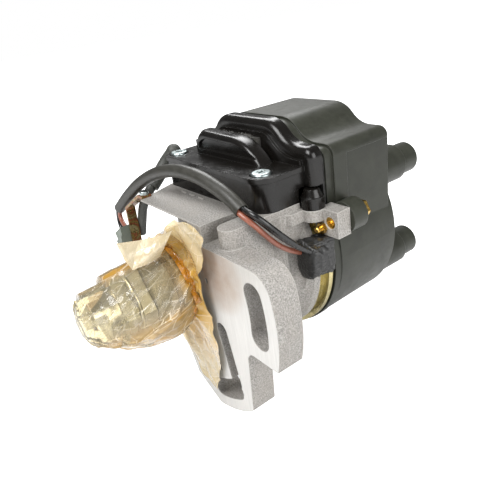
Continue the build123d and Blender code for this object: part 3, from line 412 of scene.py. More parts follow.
# ------------------------------------------------------------------ finishes
@dataclass(frozen=True)
class Finish:
    """A named surface finish, made once as a material."""

    name: str

    def paint(self, graph: ShaderGraph) -> None:
        """Fill the shader graph; each finish has its own.

        Args:
            graph: The material's shader graph.
        """
        raise NotImplementedError

    def material(self) -> bpy.types.Material:
        """Make the material, or return the one already made.

        Returns:
            The Blender material.
        """
        if self.name not in MADE:
            graph = ShaderGraph(self.name)
            self.paint(graph)
            MADE[self.name] = graph.material
        return MADE[self.name]


@dataclass(frozen=True)
class CastAlloy(Finish):
    """Rough die-cast aluminium, with a bright face where it was machined.

    dark and light are the grain's colours, cloud and worn those of its clouds and edges, and machined,
    scratch and glint those of the milled face. The smudge on that face lies at smudge_at in X and Z and
    reaches smudge_half from there. The milled look fades out between the two distances of face_depth from
    the frame's origin plane, and between the two leans of face_front, the Y of the surface's normal.
    """

    dark: Colour = (0.105, 0.098, 0.090)
    light: Colour = (0.46, 0.442, 0.415)
    cloud: Colour = (0.30, 0.275, 0.245)
    worn: Colour = (0.66, 0.64, 0.60)
    machined: Colour = (0.57, 0.56, 0.54)
    scratch: Colour = (0.45, 0.44, 0.42)
    glint: Colour = (0.74, 0.73, 0.71)
    smudge: Colour = (0.40, 0.30, 0.235)
    smudge_at: Pair = (25.0, 12.0)
    smudge_half: Pair = (15.0, 13.0)
    face_depth: Pair = (0.06, 0.16)
    face_front: Pair = (-0.9, -0.6)
    grain_mm: float = 0.55
    pit_mm: float = 0.75
    wear_mm: float = 0.7
    edge_mm: float = 0.45
    relief_mm: float = 0.22

    def cast_skin(self, graph: ShaderGraph, grain: Socket) -> Socket:
        """Grey grain with soft clouds and paler worn edges.

        Args:
            graph: The material's shader graph.
            grain: The grain's factor.

        Returns:
            The colour's output.
        """
        middle = tuple(0.5 * (a + b) for a, b in zip(self.dark, self.light))
        skin = graph.ramp(grain, (0.30, self.dark), (0.50, middle), (0.70, self.light))
        cloud = graph.noise(9.0, 3.0, 0.55, 0.4)
        skin = graph.mix(graph.span(cloud, 0.35, 0.68, 0.0, 0.42), skin, self.cloud)
        return graph.mix(graph.times(graph.wear(self.wear_mm), 0.55), skin, self.worn)

    def from_smudge(self, graph: ShaderGraph) -> Socket:
        """How far the point is from the smudge's middle, squared, in half widths.

        Args:
            graph: The material's shader graph.

        Returns:
            The squared distance's output.
        """
        x, _, z = graph.place()
        ways = []
        for way, middle, half in zip((x, z), self.smudge_at, self.smudge_half):
            off = graph.maths("SUBTRACT", way, middle * MM)
            ways.append(graph.squared(graph.maths("DIVIDE", off, half * MM)))
        return graph.plus(*ways)

    def milled_skin(self, graph: ShaderGraph) -> Socket:
        """Bright metal with upright scratches and a brown smudge.

        Args:
            graph: The material's shader graph.

        Returns:
            The colour's output.
        """
        long = graph.noise(0.9, 4.0, 0.75, 0.0, graph.stretch((1.0, 1.0, 0.045), (0.0, 0.08, 0.0)))
        fine = graph.noise(0.35, 2.0, 0.6, 0.0, graph.stretch((1.0, 1.0, 0.02)))
        milled = graph.mix(graph.span(long, 0.40, 0.62, 0.0, 0.34), self.machined, self.scratch)
        milled = graph.mix(graph.span(fine, 0.52, 0.66, 0.0, 0.30), milled, self.glint)
        patchy = graph.span(graph.noise(6.0, 4.0), 0.3, 0.65, 0.5, 1.0)
        stain = graph.times(graph.span(self.from_smudge(graph), 0.1, 1.9, 0.95, 0.0), patchy)
        return graph.mix(stain, milled, self.smudge)

    def paint(self, graph: ShaderGraph) -> None:
        """The cast skin everywhere, and the milled one on the face at the frame's origin.

        Args:
            graph: The material's shader graph.
        """
        grain = graph.noise(self.grain_mm, 4.0, 0.7)
        flat = graph.between(graph.maths("ABSOLUTE", graph.place()[1]), self.face_depth, 1.0, 0.0)
        front = graph.span(graph.facing()[1], *self.face_front, 1.0, 0.0)
        face = graph.times(flat, front)
        graph.put(Base_Color=graph.mix(face, self.cast_skin(graph, grain), self.milled_skin(graph)),
                  Metallic=graph.span(face, 0.0, 1.0, 0.12, 0.35),
                  Roughness=graph.maths("SUBTRACT", graph.span(grain, 0.3, 0.7, 0.78, 0.58),
                                        graph.times(face, 0.22)))
        height = graph.plus(graph.times(grain, 0.75), graph.times(graph.cells(self.pit_mm), 0.35))
        height = graph.times(height, graph.span(face, 0.0, 1.0, 1.0, 0.05))
        graph.put(Normal=graph.bump(height, self.relief_mm, 0.9, graph.edges(self.edge_mm)))


@dataclass(frozen=True)
class Moulding(Finish):
    """Moulded plastic with a fine grain, faint flow marks, dust and paler worn edges.

    colour and lift are the two colours of its flow marks. grain_depth is in millimetres, edge is the
    share of worn at the edges and dust that of dust_colour on the upper faces, and shine is the plastic's
    specular level.
    """

    colour: Colour = (0.05, 0.05, 0.045)
    lift: Colour = (0.085, 0.087, 0.078)
    rough: float = 0.42
    grain_mm: float = 0.35
    grain_depth: float = 0.012
    edge_mm: float = 0.5
    edge: float = 0.25
    dust: float = 0.15
    shine: float = 0.35
    dust_colour: Colour = (0.17, 0.17, 0.145)
    worn: Colour = (0.16, 0.16, 0.15)

    def paint(self, graph: ShaderGraph) -> None:
        """Colour clouds, grain, dust on the upper faces and rounded edges.

        Args:
            graph: The material's shader graph.
        """
        flow = graph.noise(14.0, 4.0, 0.6, 0.5)
        base = graph.mix(graph.span(flow, 0.3, 0.7, 0.0, 1.0), self.colour, self.lift)
        top = graph.span(graph.facing()[2], 0.2, 1.0, 0.0, self.dust)
        specks = graph.span(graph.noise(2.2, 5.0, 0.7), 0.35, 0.7, 0.2, 1.0)
        base = graph.mix(graph.times(top, specks), base, self.dust_colour)
        base = graph.mix(graph.times(graph.wear(self.edge_mm), self.edge), base, self.worn)
        mottle = graph.span(graph.noise(5.0, 5.0, 0.65), 0.3, 0.7, self.rough - 0.06, self.rough + 0.08)
        grain = graph.noise(self.grain_mm, 2.0, 0.5)
        graph.put(Base_Color=base, Roughness=graph.plus(mottle, graph.times(top, 0.3)),
                  Specular_IOR_Level=self.shine,
                  Normal=graph.bump(grain, self.grain_depth, 0.8, graph.edges(self.edge_mm)))


@dataclass(frozen=True)
class Metal(Finish):
    """Turned, pressed or plated metal with directional marks and tarnish.

    marks scales the pattern of the marks by axis: they run long where it is small. polish is how much
    lighter the marks are than the metal.
    """

    colour: Colour = (0.55, 0.55, 0.54)
    tarnish: Colour = (0.32, 0.31, 0.29)
    rough: float = 0.3
    marks: Point = (1.0, 0.05, 1.0)
    spots_mm: float = 3.0
    edge_mm: float = 0.25
    polish: float = 1.35

    def paint(self, graph: ShaderGraph) -> None:
        """Fine marks along one direction, and tarnish spots.

        Args:
            graph: The material's shader graph.
        """
        marks = graph.noise(0.3, 3.0, 0.6, 0.0, graph.stretch(self.marks))
        spots = graph.noise(self.spots_mm, 5.0, 0.65, 0.6)
        bright = tuple(min(1.0, self.polish * c) for c in self.colour)
        base = graph.mix(graph.span(spots, 0.42, 0.72, 0.0, 0.8), self.colour, self.tarnish)
        base = graph.mix(graph.span(marks, 0.5, 0.7, 0.0, 0.25), base, bright)
        graph.put(Base_Color=base, Metallic=1.0,
                  Roughness=graph.span(spots, 0.3, 0.75, self.rough - 0.06, self.rough + 0.16),
                  Normal=graph.bump(marks, 0.02, 0.6, graph.edges(self.edge_mm)))


@dataclass(frozen=True)
class IrisedZinc(Finish):
    """Yellow chromate on zinc, with red, green and brown bands."""

    green: Colour = (0.10, 0.13, 0.06)
    ochre: Colour = (0.26, 0.17, 0.05)
    red: Colour = (0.26, 0.08, 0.04)
    brown: Colour = (0.20, 0.15, 0.05)
    yellow: Colour = (0.40, 0.34, 0.18)

    def paint(self, graph: ShaderGraph) -> None:
        """Bands of colour that wander along the strip.

        Args:
            graph: The material's shader graph.
        """
        flow = graph.noise(7.0, 3.0, 0.55, 1.6)
        hue = graph.ramp(flow, (0.28, self.green), (0.42, self.ochre), (0.50, self.red),
                         (0.58, self.brown), (0.72, self.yellow))
        graph.put(Base_Color=hue, Metallic=0.9,
                  Roughness=graph.span(graph.noise(1.2), 0.3, 0.7, 0.22, 0.40),
                  Normal=graph.bump(graph.noise(0.6, 3.0), 0.03, 0.7, graph.edges(0.2)))


@dataclass(frozen=True)
class Rubber(Finish):
    """Soft rubber, vinyl or cable jacket with faint scuffs; coat is the share of a clear gloss."""

    colour: Colour = (0.05, 0.05, 0.048)
    scuff: Colour = (0.11, 0.108, 0.10)
    rough: float = 0.5
    coat: float = 0.0

    def paint(self, graph: ShaderGraph) -> None:
        """Long scuffs, fine skin and a little gloss.

        Args:
            graph: The material's shader graph.
        """
        scuffs = graph.noise(1.6, 5.0, 0.7, 0.3, graph.stretch((0.35, 1.0, 0.6)))
        base = graph.mix(graph.span(scuffs, 0.44, 0.72, 0.0, 0.75), self.colour, self.scuff)
        graph.put(Base_Color=base, Coat_Weight=self.coat, Coat_Roughness=0.15,
                  Roughness=graph.span(scuffs, 0.3, 0.7, self.rough - 0.08, self.rough + 0.12),
                  Normal=graph.bump(graph.noise(0.4, 3.0, 0.6), 0.02, 0.7, graph.edges(0.2)))


@dataclass(frozen=True)
class Tape(Finish):
    """Black cloth-backed tape, shiny along its folds."""

    black: Colour = (0.005, 0.005, 0.005)
    bloom: Colour = (0.022, 0.022, 0.021)

    def paint(self, graph: ShaderGraph) -> None:
        """Creases and a faint grey bloom.

        Args:
            graph: The material's shader graph.
        """
        bloom = graph.noise(4.0, 5.0, 0.65, 0.8)
        crease = graph.cells(2.6, "DISTANCE_TO_EDGE", graph.stretch((1.0, 0.45, 1.0)))
        height = graph.plus(graph.times(bloom, 0.8), graph.span(crease, 0.0, 0.12, 0.0, 0.35))
        graph.put(Base_Color=graph.ramp(bloom, (0.35, self.black), (0.70, self.bloom)),
                  Roughness=graph.span(bloom, 0.3, 0.7, 0.26, 0.50),
                  Normal=graph.bump(height, 0.45, 0.8))


@dataclass(frozen=True)
class Resin(Finish):
    """Rough potting compound, black and glistening."""

    hollow: Colour = (0.006, 0.006, 0.005)
    crest: Colour = (0.085, 0.08, 0.07)

    def paint(self, graph: ShaderGraph) -> None:
        """Coarse lumps with wet-looking tops.

        Args:
            graph: The material's shader graph.
        """
        lumps = graph.noise(1.1, 6.0, 0.8, 0.4)
        graph.put(Base_Color=graph.ramp(lumps, (0.35, self.hollow), (0.68, self.crest)),
                  Roughness=graph.span(lumps, 0.3, 0.7, 0.55, 0.28),
                  Normal=graph.bump(lumps, 0.5, 1.0))


@dataclass(frozen=True)
class FilmSkin(Finish):
    """Creased oily film: clear where it lies flat, amber where it is folded and crushed.

    thin, milk, thick, crease and glint are the colours of clear and of clouded film, of folded film, of the
    painted shade along dark creases and of the painted highlight along pale ones, and tint is that of what
    shows through.
    alpha is the share that hides what lies behind, and fold is what amber adds to it. streak is how many
    times longer than wide a facet is, creased the strength of the creases' painted shade and highlight,
    relief that of the bumps and gloss the roughness of the gloss. tight is True on the bag. near_mm is where
    amber begins and ends round the neck of the other pieces, and slack_mm, crown_mm and mouth_mm say so for
    the bag. lay and cross turn the two sets of creases, in radians.
    """

    thin: Colour = (0.50, 0.43, 0.27)
    thick: Colour = (0.46, 0.25, 0.035)
    # crease is the colour of the painted shade along dark creases, glint that of the painted highlight along
    # pale ones
    crease: Colour = (0.13, 0.075, 0.02)
    milk: Colour = (0.60, 0.55, 0.42)
    glint: Colour = (0.74, 0.70, 0.60)
    tint: Colour = (0.94, 0.875, 0.68)
    alpha: float = 0.14
    fold: float = 0.55
    streak: float = 5.0
    facet_mm: float = 5.0
    creased: float = 0.55
    relief: float = 0.45
    gloss: float = 0.13
    tight: bool = True
    near_mm: Pair = (18.5, 36.0)
    slack_mm: Pair = (-12.5, -6.0)
    crown_mm: Pair = (8.5, 12.0)
    mouth_mm: Pair = (-13.0, -6.0)
    lay: Point = (0.524, 0.0, 0.342)
    cross: Point = (0.35, 0.3, 0.10)

    def amber(self, graph: ShaderGraph) -> Socket:
        """Share of amber: on the bag at its mouth, crown and slack side, elsewhere near the neck.

        Args:
            graph: The material's shader graph.

        Returns:
            The share's output.
        """
        x, y, z = graph.place()
        if not self.tight:
            radius = graph.maths("SQRT", graph.plus(graph.squared(x), graph.squared(z)))
            return graph.between(radius, self.near_mm, 1.0, 0.25)
        up = graph.maths("SUBTRACT", graph.times(z, -SLACK_Z), graph.times(x, SLACK_X))
        slack = graph.between(up, self.slack_mm, 0.75, 0.0)
        crown = graph.between(up, self.crown_mm, 0.0, 0.9)
        return graph.most(graph.between(y, self.mouth_mm, 0.0, 0.8), graph.most(slack, crown))

    def paint(self, graph: ShaderGraph) -> None:
        """Long creases painted dark as shade and pale as highlights, facets, folds of amber, a milky bloom
        and a varying see-through share.

        Args:
            graph: The material's shader graph.
        """
        at = graph.streaks(self.lay, self.streak)
        shade = graph.shades(self.facet_mm, at)
        # mask of the dark creases, where shade is painted
        dark = graph.creases(self.facet_mm * 0.92, 0.026, at)
        # mask of the pale creases, where a highlight is painted
        pale = graph.creases(self.facet_mm * 0.64, 0.030, graph.streaks(self.cross, self.streak))
        small = graph.noise(2.6, 3.0, 0.6, 0.6, at)
        near = graph.times(self.amber(graph), graph.span(shade, 0.15, 0.75, 0.45, 1.25))
        amber = graph.most(graph.span(shade, 0.80, 0.86, 0.0, 0.5), near)
        base = graph.mix(graph.span(shade, 0.30, 0.70, 0.0, 1.0), self.thin, self.milk)
        base = graph.mix(amber, base, self.thick)
        # painted highlight along the pale creases, then painted shade along the dark ones
        base = graph.mix(graph.times(pale, self.creased), base, self.glint)
        base = graph.mix(graph.times(dark, self.creased * 1.4), base, self.crease)
        rim = graph.node("ShaderNodeLayerWeight")
        rim.inputs["Blend"].default_value = 0.25
        alpha = graph.plus(graph.times(amber, self.fold), self.alpha)
        alpha = graph.plus(alpha, graph.times(rim.outputs["Facing"], 0.30))
        alpha = graph.plus(alpha, graph.times(graph.most(dark, pale), 0.40))
        height = graph.plus(small, graph.times(graph.plus(shade, pale), 0.5))
        graph.put(Base_Color=base, Roughness=graph.span(small, 0.3, 0.7, 0.14, 0.30),
                  Normal=graph.bump(height, 0.30, self.relief))
        graph.veil(graph.span(alpha, 0.0, 1.0, 0.0, 1.0), self.tint, self.gloss)


@dataclass(frozen=True)
class FloorPaint(Finish):
    """Pale floor that shows white to the camera and keeps a shadow.

    low and high are the colours of its clouds. glow is its own light for camera and transmitted rays, and
    mirror_glow that for glossy ones.
    """

    low: Colour = (0.80, 0.80, 0.80)
    high: Colour = (0.84, 0.84, 0.84)
    glow: float = 0.72
    mirror_glow: float = 0.10

    def paint(self, graph: ShaderGraph) -> None:
        """White emission for the camera, on a base that the object shades.

        Args:
            graph: The material's shader graph.
        """
        cloud = graph.noise(600.0, 2.0)
        graph.put(Base_Color=graph.ramp(cloud, (0.4, self.low), (0.6, self.high)), Roughness=0.9)
        rays = graph.node("ShaderNodeLightPath").outputs
        clear = graph.most(rays["Is Camera Ray"], rays["Is Transmission Ray"])
        mirrored = graph.times(rays["Is Glossy Ray"], self.mirror_glow)
        strength = graph.plus(graph.times(clear, self.glow), mirrored)
        graph.put(Emission_Color=(1.0, 1.0, 1.0), Emission_Strength=strength)


CAST = CastAlloy("cast_aluminium")
CAP = Moulding("cap_plastic", colour=(0.0165, 0.0175, 0.0125), lift=(0.029, 0.031, 0.0225), rough=0.36,
               grain_mm=0.3, grain_depth=0.010, edge_mm=0.6, edge=0.16, dust=0.14, shine=0.32)
GLOSS = Moulding("cover_plastic", colour=(0.0035, 0.003, 0.0025), lift=(0.007, 0.006, 0.005), rough=0.22,
                 grain_mm=0.9, grain_depth=0.003, edge_mm=0.4, edge=0.06, dust=0.008, shine=0.40)
ROTOR = Moulding("rotor_plastic", colour=(0.10, 0.03, 0.018), lift=(0.15, 0.05, 0.03), rough=0.38)
PLUG = Moulding("plug_plastic", colour=(0.12, 0.145, 0.115), lift=(0.17, 0.19, 0.16))
GASKET = Rubber("gasket_rubber", colour=(0.016, 0.016, 0.015), scuff=(0.05, 0.05, 0.048), rough=0.55)
SEAL = Rubber("seal_rubber", colour=(0.03, 0.018, 0.012), scuff=(0.07, 0.05, 0.04))
CARBON = Rubber("carbon", colour=(0.02, 0.02, 0.02), scuff=(0.06, 0.06, 0.06), rough=0.55)
SLEEVE = Rubber("sleeve_vinyl", colour=(0.027, 0.026, 0.021), scuff=(0.050, 0.048, 0.040), rough=0.42,
                coat=0.05)
JACKET = Rubber("wire_black", colour=(0.005, 0.005, 0.005), scuff=(0.012, 0.012, 0.011), rough=0.26, coat=0.2)
BROWN = Rubber("wire_brown", colour=(0.23, 0.072, 0.042), scuff=(0.33, 0.13, 0.085), rough=0.32, coat=0.2)
LEAD = Rubber("lead_rubber", colour=(0.040, 0.042, 0.036), scuff=(0.085, 0.087, 0.078))
GOLD_ZINC = Metal("gold_zinc", colour=(0.60, 0.52, 0.28), tarnish=(0.30, 0.27, 0.12), rough=0.26,
                  marks=(1.0, 0.2, 1.0), spots_mm=5.0)
BRASS = Metal("brass", colour=(0.74, 0.49, 0.13), tarnish=(0.42, 0.24, 0.05), rough=0.22,
              marks=(1.0, 0.3, 1.0), spots_mm=2.0)
ZINC = Metal("bright_zinc", colour=(0.46, 0.52, 0.52), tarnish=(0.28, 0.33, 0.33),
             marks=(1.0, 1.0, 0.2), spots_mm=1.6)
STEEL = Metal("steel", colour=(0.60, 0.59, 0.56), tarnish=(0.42, 0.40, 0.36), rough=0.27,
              marks=(1.0, 0.04, 1.0), spots_mm=9.0)
BEARING = Metal("bearing_steel", colour=(0.62, 0.62, 0.61), tarnish=(0.45, 0.45, 0.44), rough=0.18,
                marks=(1.0, 0.04, 1.0), spots_mm=6.0)
CHROMATE = IrisedZinc("chromate_zinc")
COIL = Resin("coil_resin")
POTTING = Resin("potting")
TAPE = Tape("boot_tape")
FILM = FilmSkin("film")
SKIRT = FilmSkin("film_skirt", thin=(0.54, 0.43, 0.22), thick=(0.48, 0.28, 0.05), crease=(0.34, 0.20, 0.05),
                 milk=(0.60, 0.54, 0.39), tint=(0.96, 0.90, 0.72), alpha=0.66, fold=0.2, streak=1.6,
                 facet_mm=9.0, creased=0.30, relief=0.7, tight=False, near_mm=(18.5, 38.0))
FLAP = FilmSkin("film_flap", thin=(0.55, 0.47, 0.31), thick=(0.48, 0.32, 0.11), crease=(0.40, 0.30, 0.14),
                milk=(0.62, 0.57, 0.45), tint=(0.97, 0.93, 0.80), alpha=0.74, fold=0.2, streak=1.4,
                facet_mm=8.0, creased=0.12, relief=0.6, tight=False, near_mm=(12.0, 19.0))
RIBBON = FilmSkin("film_band", thin=(0.52, 0.25, 0.025), thick=(0.42, 0.17, 0.010),
                  crease=(0.14, 0.05, 0.006), milk=(0.56, 0.33, 0.08), tint=(0.95, 0.80, 0.45), alpha=0.86,
                  fold=0.12, streak=8.0, facet_mm=2.5, creased=0.25, relief=0.6, tight=False)
FLOOR = FloorPaint("studio_floor")

NODE_FINISHES: dict[str, Finish] = {
    "housing": CAST, "spigot_oring": SEAL, "front_bush": BRASS, "oil_seal": SEAL, "rear_bearing": BEARING,
    "shield_plate": GOLD_ZINC, "pickups": CAP, "cap_gasket": GASKET, "cap": CAP, "ignition_coil": COIL,
    "cap_terminals": BRASS, "carbon_brush": CARBON, "brush_spring": STEEL, "cap_screws": BRASS,
    "drive_shaft": STEEL, "shaft_circlip": STEEL, "drive_coupling": STEEL, "coupling_pin": STEEL,
    "pin_spring_ring": STEEL, "trigger_wheel": STEEL, "rotor_arm": ROTOR, "rotor_strip": BRASS,
    "coil_base": GLOSS, "coil_cover": GLOSS, "cover_screws": ZINC, "coil_potting": POTTING,
    "vent_plug": GLOSS, "ground_stud": BRASS, "harness_sleeve": SLEEVE, "harness_boot": TAPE,
    "lead_sock": LEAD, "plug_bracket": CHROMATE, "bracket_screw": ZINC, "harness_plug": PLUG,
    "protective_film": FILM, "film_band": RIBBON, "wire_brown": BROWN, "wire_black_1": JACKET,
    "wire_black_2": JACKET, "coil_lead": LEAD, "tail_black": JACKET, "tail_brown": BROWN,
}


# ------------------------------------------------------------------ mesh helpers
def grid_mesh(name: str, rows: int, columns: int, point: Callable[[float, float], Vector],
              closed: bool = False) -> bpy.types.Object:
    """A sheet of quads from a function of two shares.

    Args:
        name: The piece's name.
        rows: Steps of the first share.
        columns: Steps of the second share.
        point: Gives a place in millimetres for two shares from 0 to 1.
        closed: True where the second share runs round and meets itself.

    Returns:
        The new object, smooth shaded.
    """
    form = bmesh.new()
    count = columns if closed else columns + 1
    places = [[form.verts.new(point(i / rows, j / columns) * MM) for j in range(count)]
              for i in range(rows + 1)]
    for i in range(rows):
        for j in range(columns):
            k = (j + 1) % count
            form.faces.new((places[i][j], places[i][k], places[i + 1][k], places[i + 1][j]))
    return finish_mesh(name, form)


def finish_mesh(name: str, form: bmesh.types.BMesh) -> bpy.types.Object:
    """Turn a bmesh into a smooth object in the scene.

    Args:
        name: The piece's name.
        form: The faces, which are freed here.

    Returns:
        The new object.
    """
    bmesh.ops.recalc_face_normals(form, faces=form.faces)
    mesh = bpy.data.meshes.new(name)
    form.to_mesh(mesh)
    form.free()
    mesh.polygons.foreach_set("use_smooth", [True] * len(mesh.polygons))
    made = bpy.data.objects.new(name, mesh)
    bpy.context.scene.collection.objects.link(made)
    return made


def dress(piece: bpy.types.Object, finish: Finish, body: Body) -> bpy.types.Object:
    """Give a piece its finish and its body.

    Args:
        piece: The new object.
        finish: Its finish.
        body: The body that it moves with.

    Returns:
        The same object.
    """
    piece.data.materials.clear()
    piece.data.materials.append(finish.material())
    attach(piece, body.value)
    LOG.info("piece %s: finish %s, body %s", piece.name, finish.name, body.value)
    return piece


def smooth(share: float) -> float:
    """A soft step from 0 to 1."""
    share = min(1.0, max(0.0, share))
    return share * share * (3.0 - 2.0 * share)


def along(keys: Keys, at: float) -> float:
    """A value between keys, eased from one to the next.

    Args:
        keys: Pairs of place and value, in order of place.
        at: The place.

    Returns:
        The value there, or the last key's value past the end.
    """
    for (a, va), (b, vb) in zip(keys, keys[1:]):
        if at <= b:
            return va + (vb - va) * smooth((at - a) / (b - a))
    return keys[-1][1]


def facets(a: float, b: float, seed: float, wrap: int = 1 << 20) -> float:
    """Height of crushed film: flat triangles between sharp creases.

    Args:
        a: Place along the first way, in triangles.
        b: Place along the second way, in triangles.
        seed: Picks the pattern.
        wrap: Triangles after which the first way repeats.

    Returns:
        A height from -1 to 1.
    """
    i, j = math.floor(a), math.floor(b)
    fa, fb = a - i, b - j

    def corner(di: int, dj: int) -> float:
        """The height at one corner of the lattice."""
        return noise.cell(Vector(((i + di) % wrap + 0.5, j + dj + 0.5, seed)))

    if fa + fb < 1.0:
        low = corner(0, 0)
        return low + fa * (corner(1, 0) - low) + fb * (corner(0, 1) - low)
    high = corner(1, 1)
    return high + (1.0 - fa) * (corner(0, 1) - high) + (1.0 - fb) * (corner(1, 0) - high)


def chain(points: Sequence[Point], share: float) -> Vector:
    """A place along a chain of points, each leg taking an even share.

    Args:
        points: The chain's points.
        share: Share of the way from the first to the last.

    Returns:
        The place in millimetres.
    """
    legs = len(points) - 1
    k = min(legs - 1, int(share * legs))
    return Vector(points[k]).lerp(Vector(points[k + 1]), share * legs - k)


@dataclass(frozen=True)
class Crush:
    """One layer of crushed facets round a piece.

    around is the number of facets in one round, twist how many of them the layer slides round and rows
    how many follow each other over one unit of the way along, seed picks the pattern, and height is its
    largest height.
    """

    around: int
    twist: float
    rows: float
    seed: float
    height: float

    def at(self, u: float, way: float) -> float:
        """Height at a share u of the way round and a place along the piece."""
        a, b = u * self.around + self.twist * way, way * self.rows
        return facets(a, b, self.seed, self.around) * self.height


# ------------------------------------------------------------------ sub-assemblies
@dataclass(frozen=True)
class CadParts:
    """The carried-over solids and their finishes."""

    nodes: dict[str, bpy.types.Object]

    def build(self) -> None:
        """Give every solid its finish."""
        for name, piece in self.nodes.items():
            finish = NODE_FINISHES[name]
            piece.data.materials.clear()
            piece.data.materials.append(finish.material())
            LOG.info("node %s: finish %s", name, finish.name)


@dataclass(frozen=True)
class FilmBag:
    """Film drawn over the coupling: creased lengthwise, slack below and closed at its outer end.

    radii, sags and metal give the bag's radius, how far it hangs slack and the radius of the metal inside
    it, each by depth in front of the flange. gap is the film's least distance from the metal.
    """

    steps: tuple[int, int] = (180, 300)
    mouth: float = 3.2
    shoulder: float = 43.2
    end_y: float = -44.9
    side_share: float = 0.84
    end_power: float = 1.6
    pleats: float = 23.0
    pleat_height: float = 0.5
    pleat_reach: float = 5.0
    ridges: float = 6.0
    ridge_height: float = 1.1
    ridge_sharp: float = 26.0
    gap: float = 0.12
    metal_end: float = 41.2
    creases: tuple[Crush, Crush] = (Crush(15, 0.07, 1.0 / 13.0, 3.1, 0.95),
                                    Crush(34, -0.10, 1.0 / 6.0, 9.3, 0.40))
    radii: Keys = ((3.2, 15.4), (7.0, 16.6), (15.0, 17.3), (22.0, 16.6), (29.0, 14.9), (35.4, 12.3),
                   (42.0, 9.3), (43.2, 7.6))
    sags: Keys = ((3.2, 0.6), (10.0, 1.9), (16.0, 2.3), (25.0, 2.6), (35.4, 2.3), (43.2, 1.0))
    metal: Keys = ((0.0, 14.9), (19.2, 14.9), (24.0, 14.5), (26.4, 14.5), (31.3, 13.8), (32.6, 11.3),
                   (41.0, 10.7), (41.2, 0.0), (60.0, 0.0))

    def metal_radius(self, depth: float) -> float:
        """Radius of the metal inside the bag at a depth, on straight lines between its keys.

        Args:
            depth: Distance in front of the flange.

        Returns:
            The radius, or 0 past the last key.
        """
        for (a, ra), (b, rb) in zip(self.metal, self.metal[1:]):
            if depth <= b:
                return ra + (rb - ra) * (depth - a) / (b - a)
        return 0.0

    def point(self, v: float, u: float) -> Vector:
        """A place on the bag.

        Args:
            v: Share from the neck to the closed end.
            u: Share of the way round.

        Returns:
            The place in millimetres.
        """
        angle = math.tau * u
        depth = self.mouth + (self.shoulder - self.mouth) * min(1.0, v / self.side_share)
        close = max(0.0, (v - self.side_share) / (1.0 - self.side_share))
        radius = along(self.radii, depth) * math.sqrt(max(0.0, 1.0 - close ** self.end_power))
        depth += close * (-self.end_y - self.shoulder)
        fade = math.exp((self.mouth - depth) / self.pleat_reach)
        pleat = self.pleat_height * math.sin(angle * self.pleats + 0.2 * depth) * fade
        long, fine = (layer.at(u, depth) for layer in self.creases)
        wander = 0.12 * noise.noise(Vector((depth * 0.1, 0.0, 4.0)))
        off_ridge = abs((u * self.ridges + depth * 0.03 + wander) % 1.0 - 0.5)
        ridge = self.ridge_height * max(0.0, 1.0 - off_ridge * self.ridge_sharp)
        grow = (pleat + long + fine + ridge) * (1.0 - 0.6 * close) * smooth((depth - self.mouth + 0.6) / 3.0)
        out = Vector((math.cos(angle), 0.0, math.sin(angle)))
        place = out * (radius + grow) + Vector((SLACK_X, 0.0, SLACK_Z)) * along(self.sags, depth)
        place.y = max(-depth, self.end_y)
        across = math.hypot(place.x, place.z)
        least = self.metal_radius(depth) + self.gap * (1.0 + fine + long)
        if 0.1 < across < least and depth < self.metal_end:
            place.x *= least / across
            place.z *= least / across
        return place

    def build(self) -> bpy.types.Object:
        """Make the bag and put it in place of its solid.

        Returns:
            The bag.
        """
        bag = dress(grid_mesh("film_bag", *self.steps, self.point, closed=True), FILM, Body.FILM)
        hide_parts("protective_film")
        return bag


@dataclass(frozen=True)
class FilmSkirt:
    """Loose film round the neck, lying on the flange.

    edge and lifts give the radius of its torn edge and its height above the flange, by angle from +X.
    tears is the number of jags in the edge and jag their share of its radius. clear is the film's least
    distance from the flange. neck_lift and neck_rise are its height there and how much more it has at
    the neck.
    """

    steps: tuple[int, int] = (64, 360)
    edge: Keys = ((-180, 19.0), (-140, 19.5), (-118, 21.0), (-106, 29.0), (-90, 35.0), (-84, 47.0),
                  (-75, 51.0), (-67, 46.0), (-59, 40.0), (-45, 34.0), (-33, 26.5), (-22, 23.6), (-5, 23.0),
                  (12, 22.4), (25, 24.6), (31, 34.0), (38, 38.0), (43, 42.5), (49, 44.5), (60, 37.5),
                  (74, 26.0), (90, 22.0), (120, 20.0), (150, 19.0), (180, 19.0))
    lifts: Keys = ((-180, 3.0), (-118, 3.0), (-100, 1.6), (-70, 1.2), (-30, 1.6), (10, 2.8), (40, 3.4),
                   (52, 5.6), (74, 8.0), (100, 8.0), (150, 4.0), (180, 3.0))
    tears: int = 40
    jag: float = 0.03
    pleats: float = 17.0
    pleat_height: float = 1.1
    big_folds: float = 1.3
    small_folds: float = 0.35
    neck_lift: float = 1.0
    neck_rise: float = 3.4
    clear: float = 0.55

    def point(self, t: float, u: float) -> Vector:
        """A place on the skirt.

        Args:
            t: Share from the neck to the torn edge.
            u: Share of the way round.

        Returns:
            The place in millimetres.
        """
        turn = -180.0 + 360.0 * u
        angle = math.radians(turn)
        cos, sin = math.cos(angle), math.sin(angle)
        ragged = 1.0 + self.jag * facets(u * self.tears, 0.5, 6.1, self.tears)
        radius = NECK_R + (along(self.edge, turn) * ragged - NECK_R) * t
        x, z = radius * cos, radius * sin
        pleat = math.sin(angle * self.pleats + 2.5 * noise.noise(Vector((cos * 2, sin * 2, 1.0))))
        wave = self.pleat_height * pleat * (1.0 - t) ** 1.5 * smooth(t * 5.0)
        folds = self.big_folds * facets(x / 8.0, (z + 0.5 * x) / 10.0, 5.5)
        folds += self.small_folds * facets(z / 3.6 + 0.4, (x - 0.4 * z) / 4.2, 2.2)
        neck = self.neck_lift + self.neck_rise * (1.0 - t) ** 2
        height = neck + along(self.lifts, turn) * smooth(t * 1.2) + wave + folds * smooth(t * 4.0)
        return Vector((x, -max(self.clear, height), z))

    def build(self) -> bpy.types.Object:
        """Make the skirt."""
        return dress(grid_mesh("film_skirt", *self.steps, self.point, closed=True), SKIRT, Body.FILM)


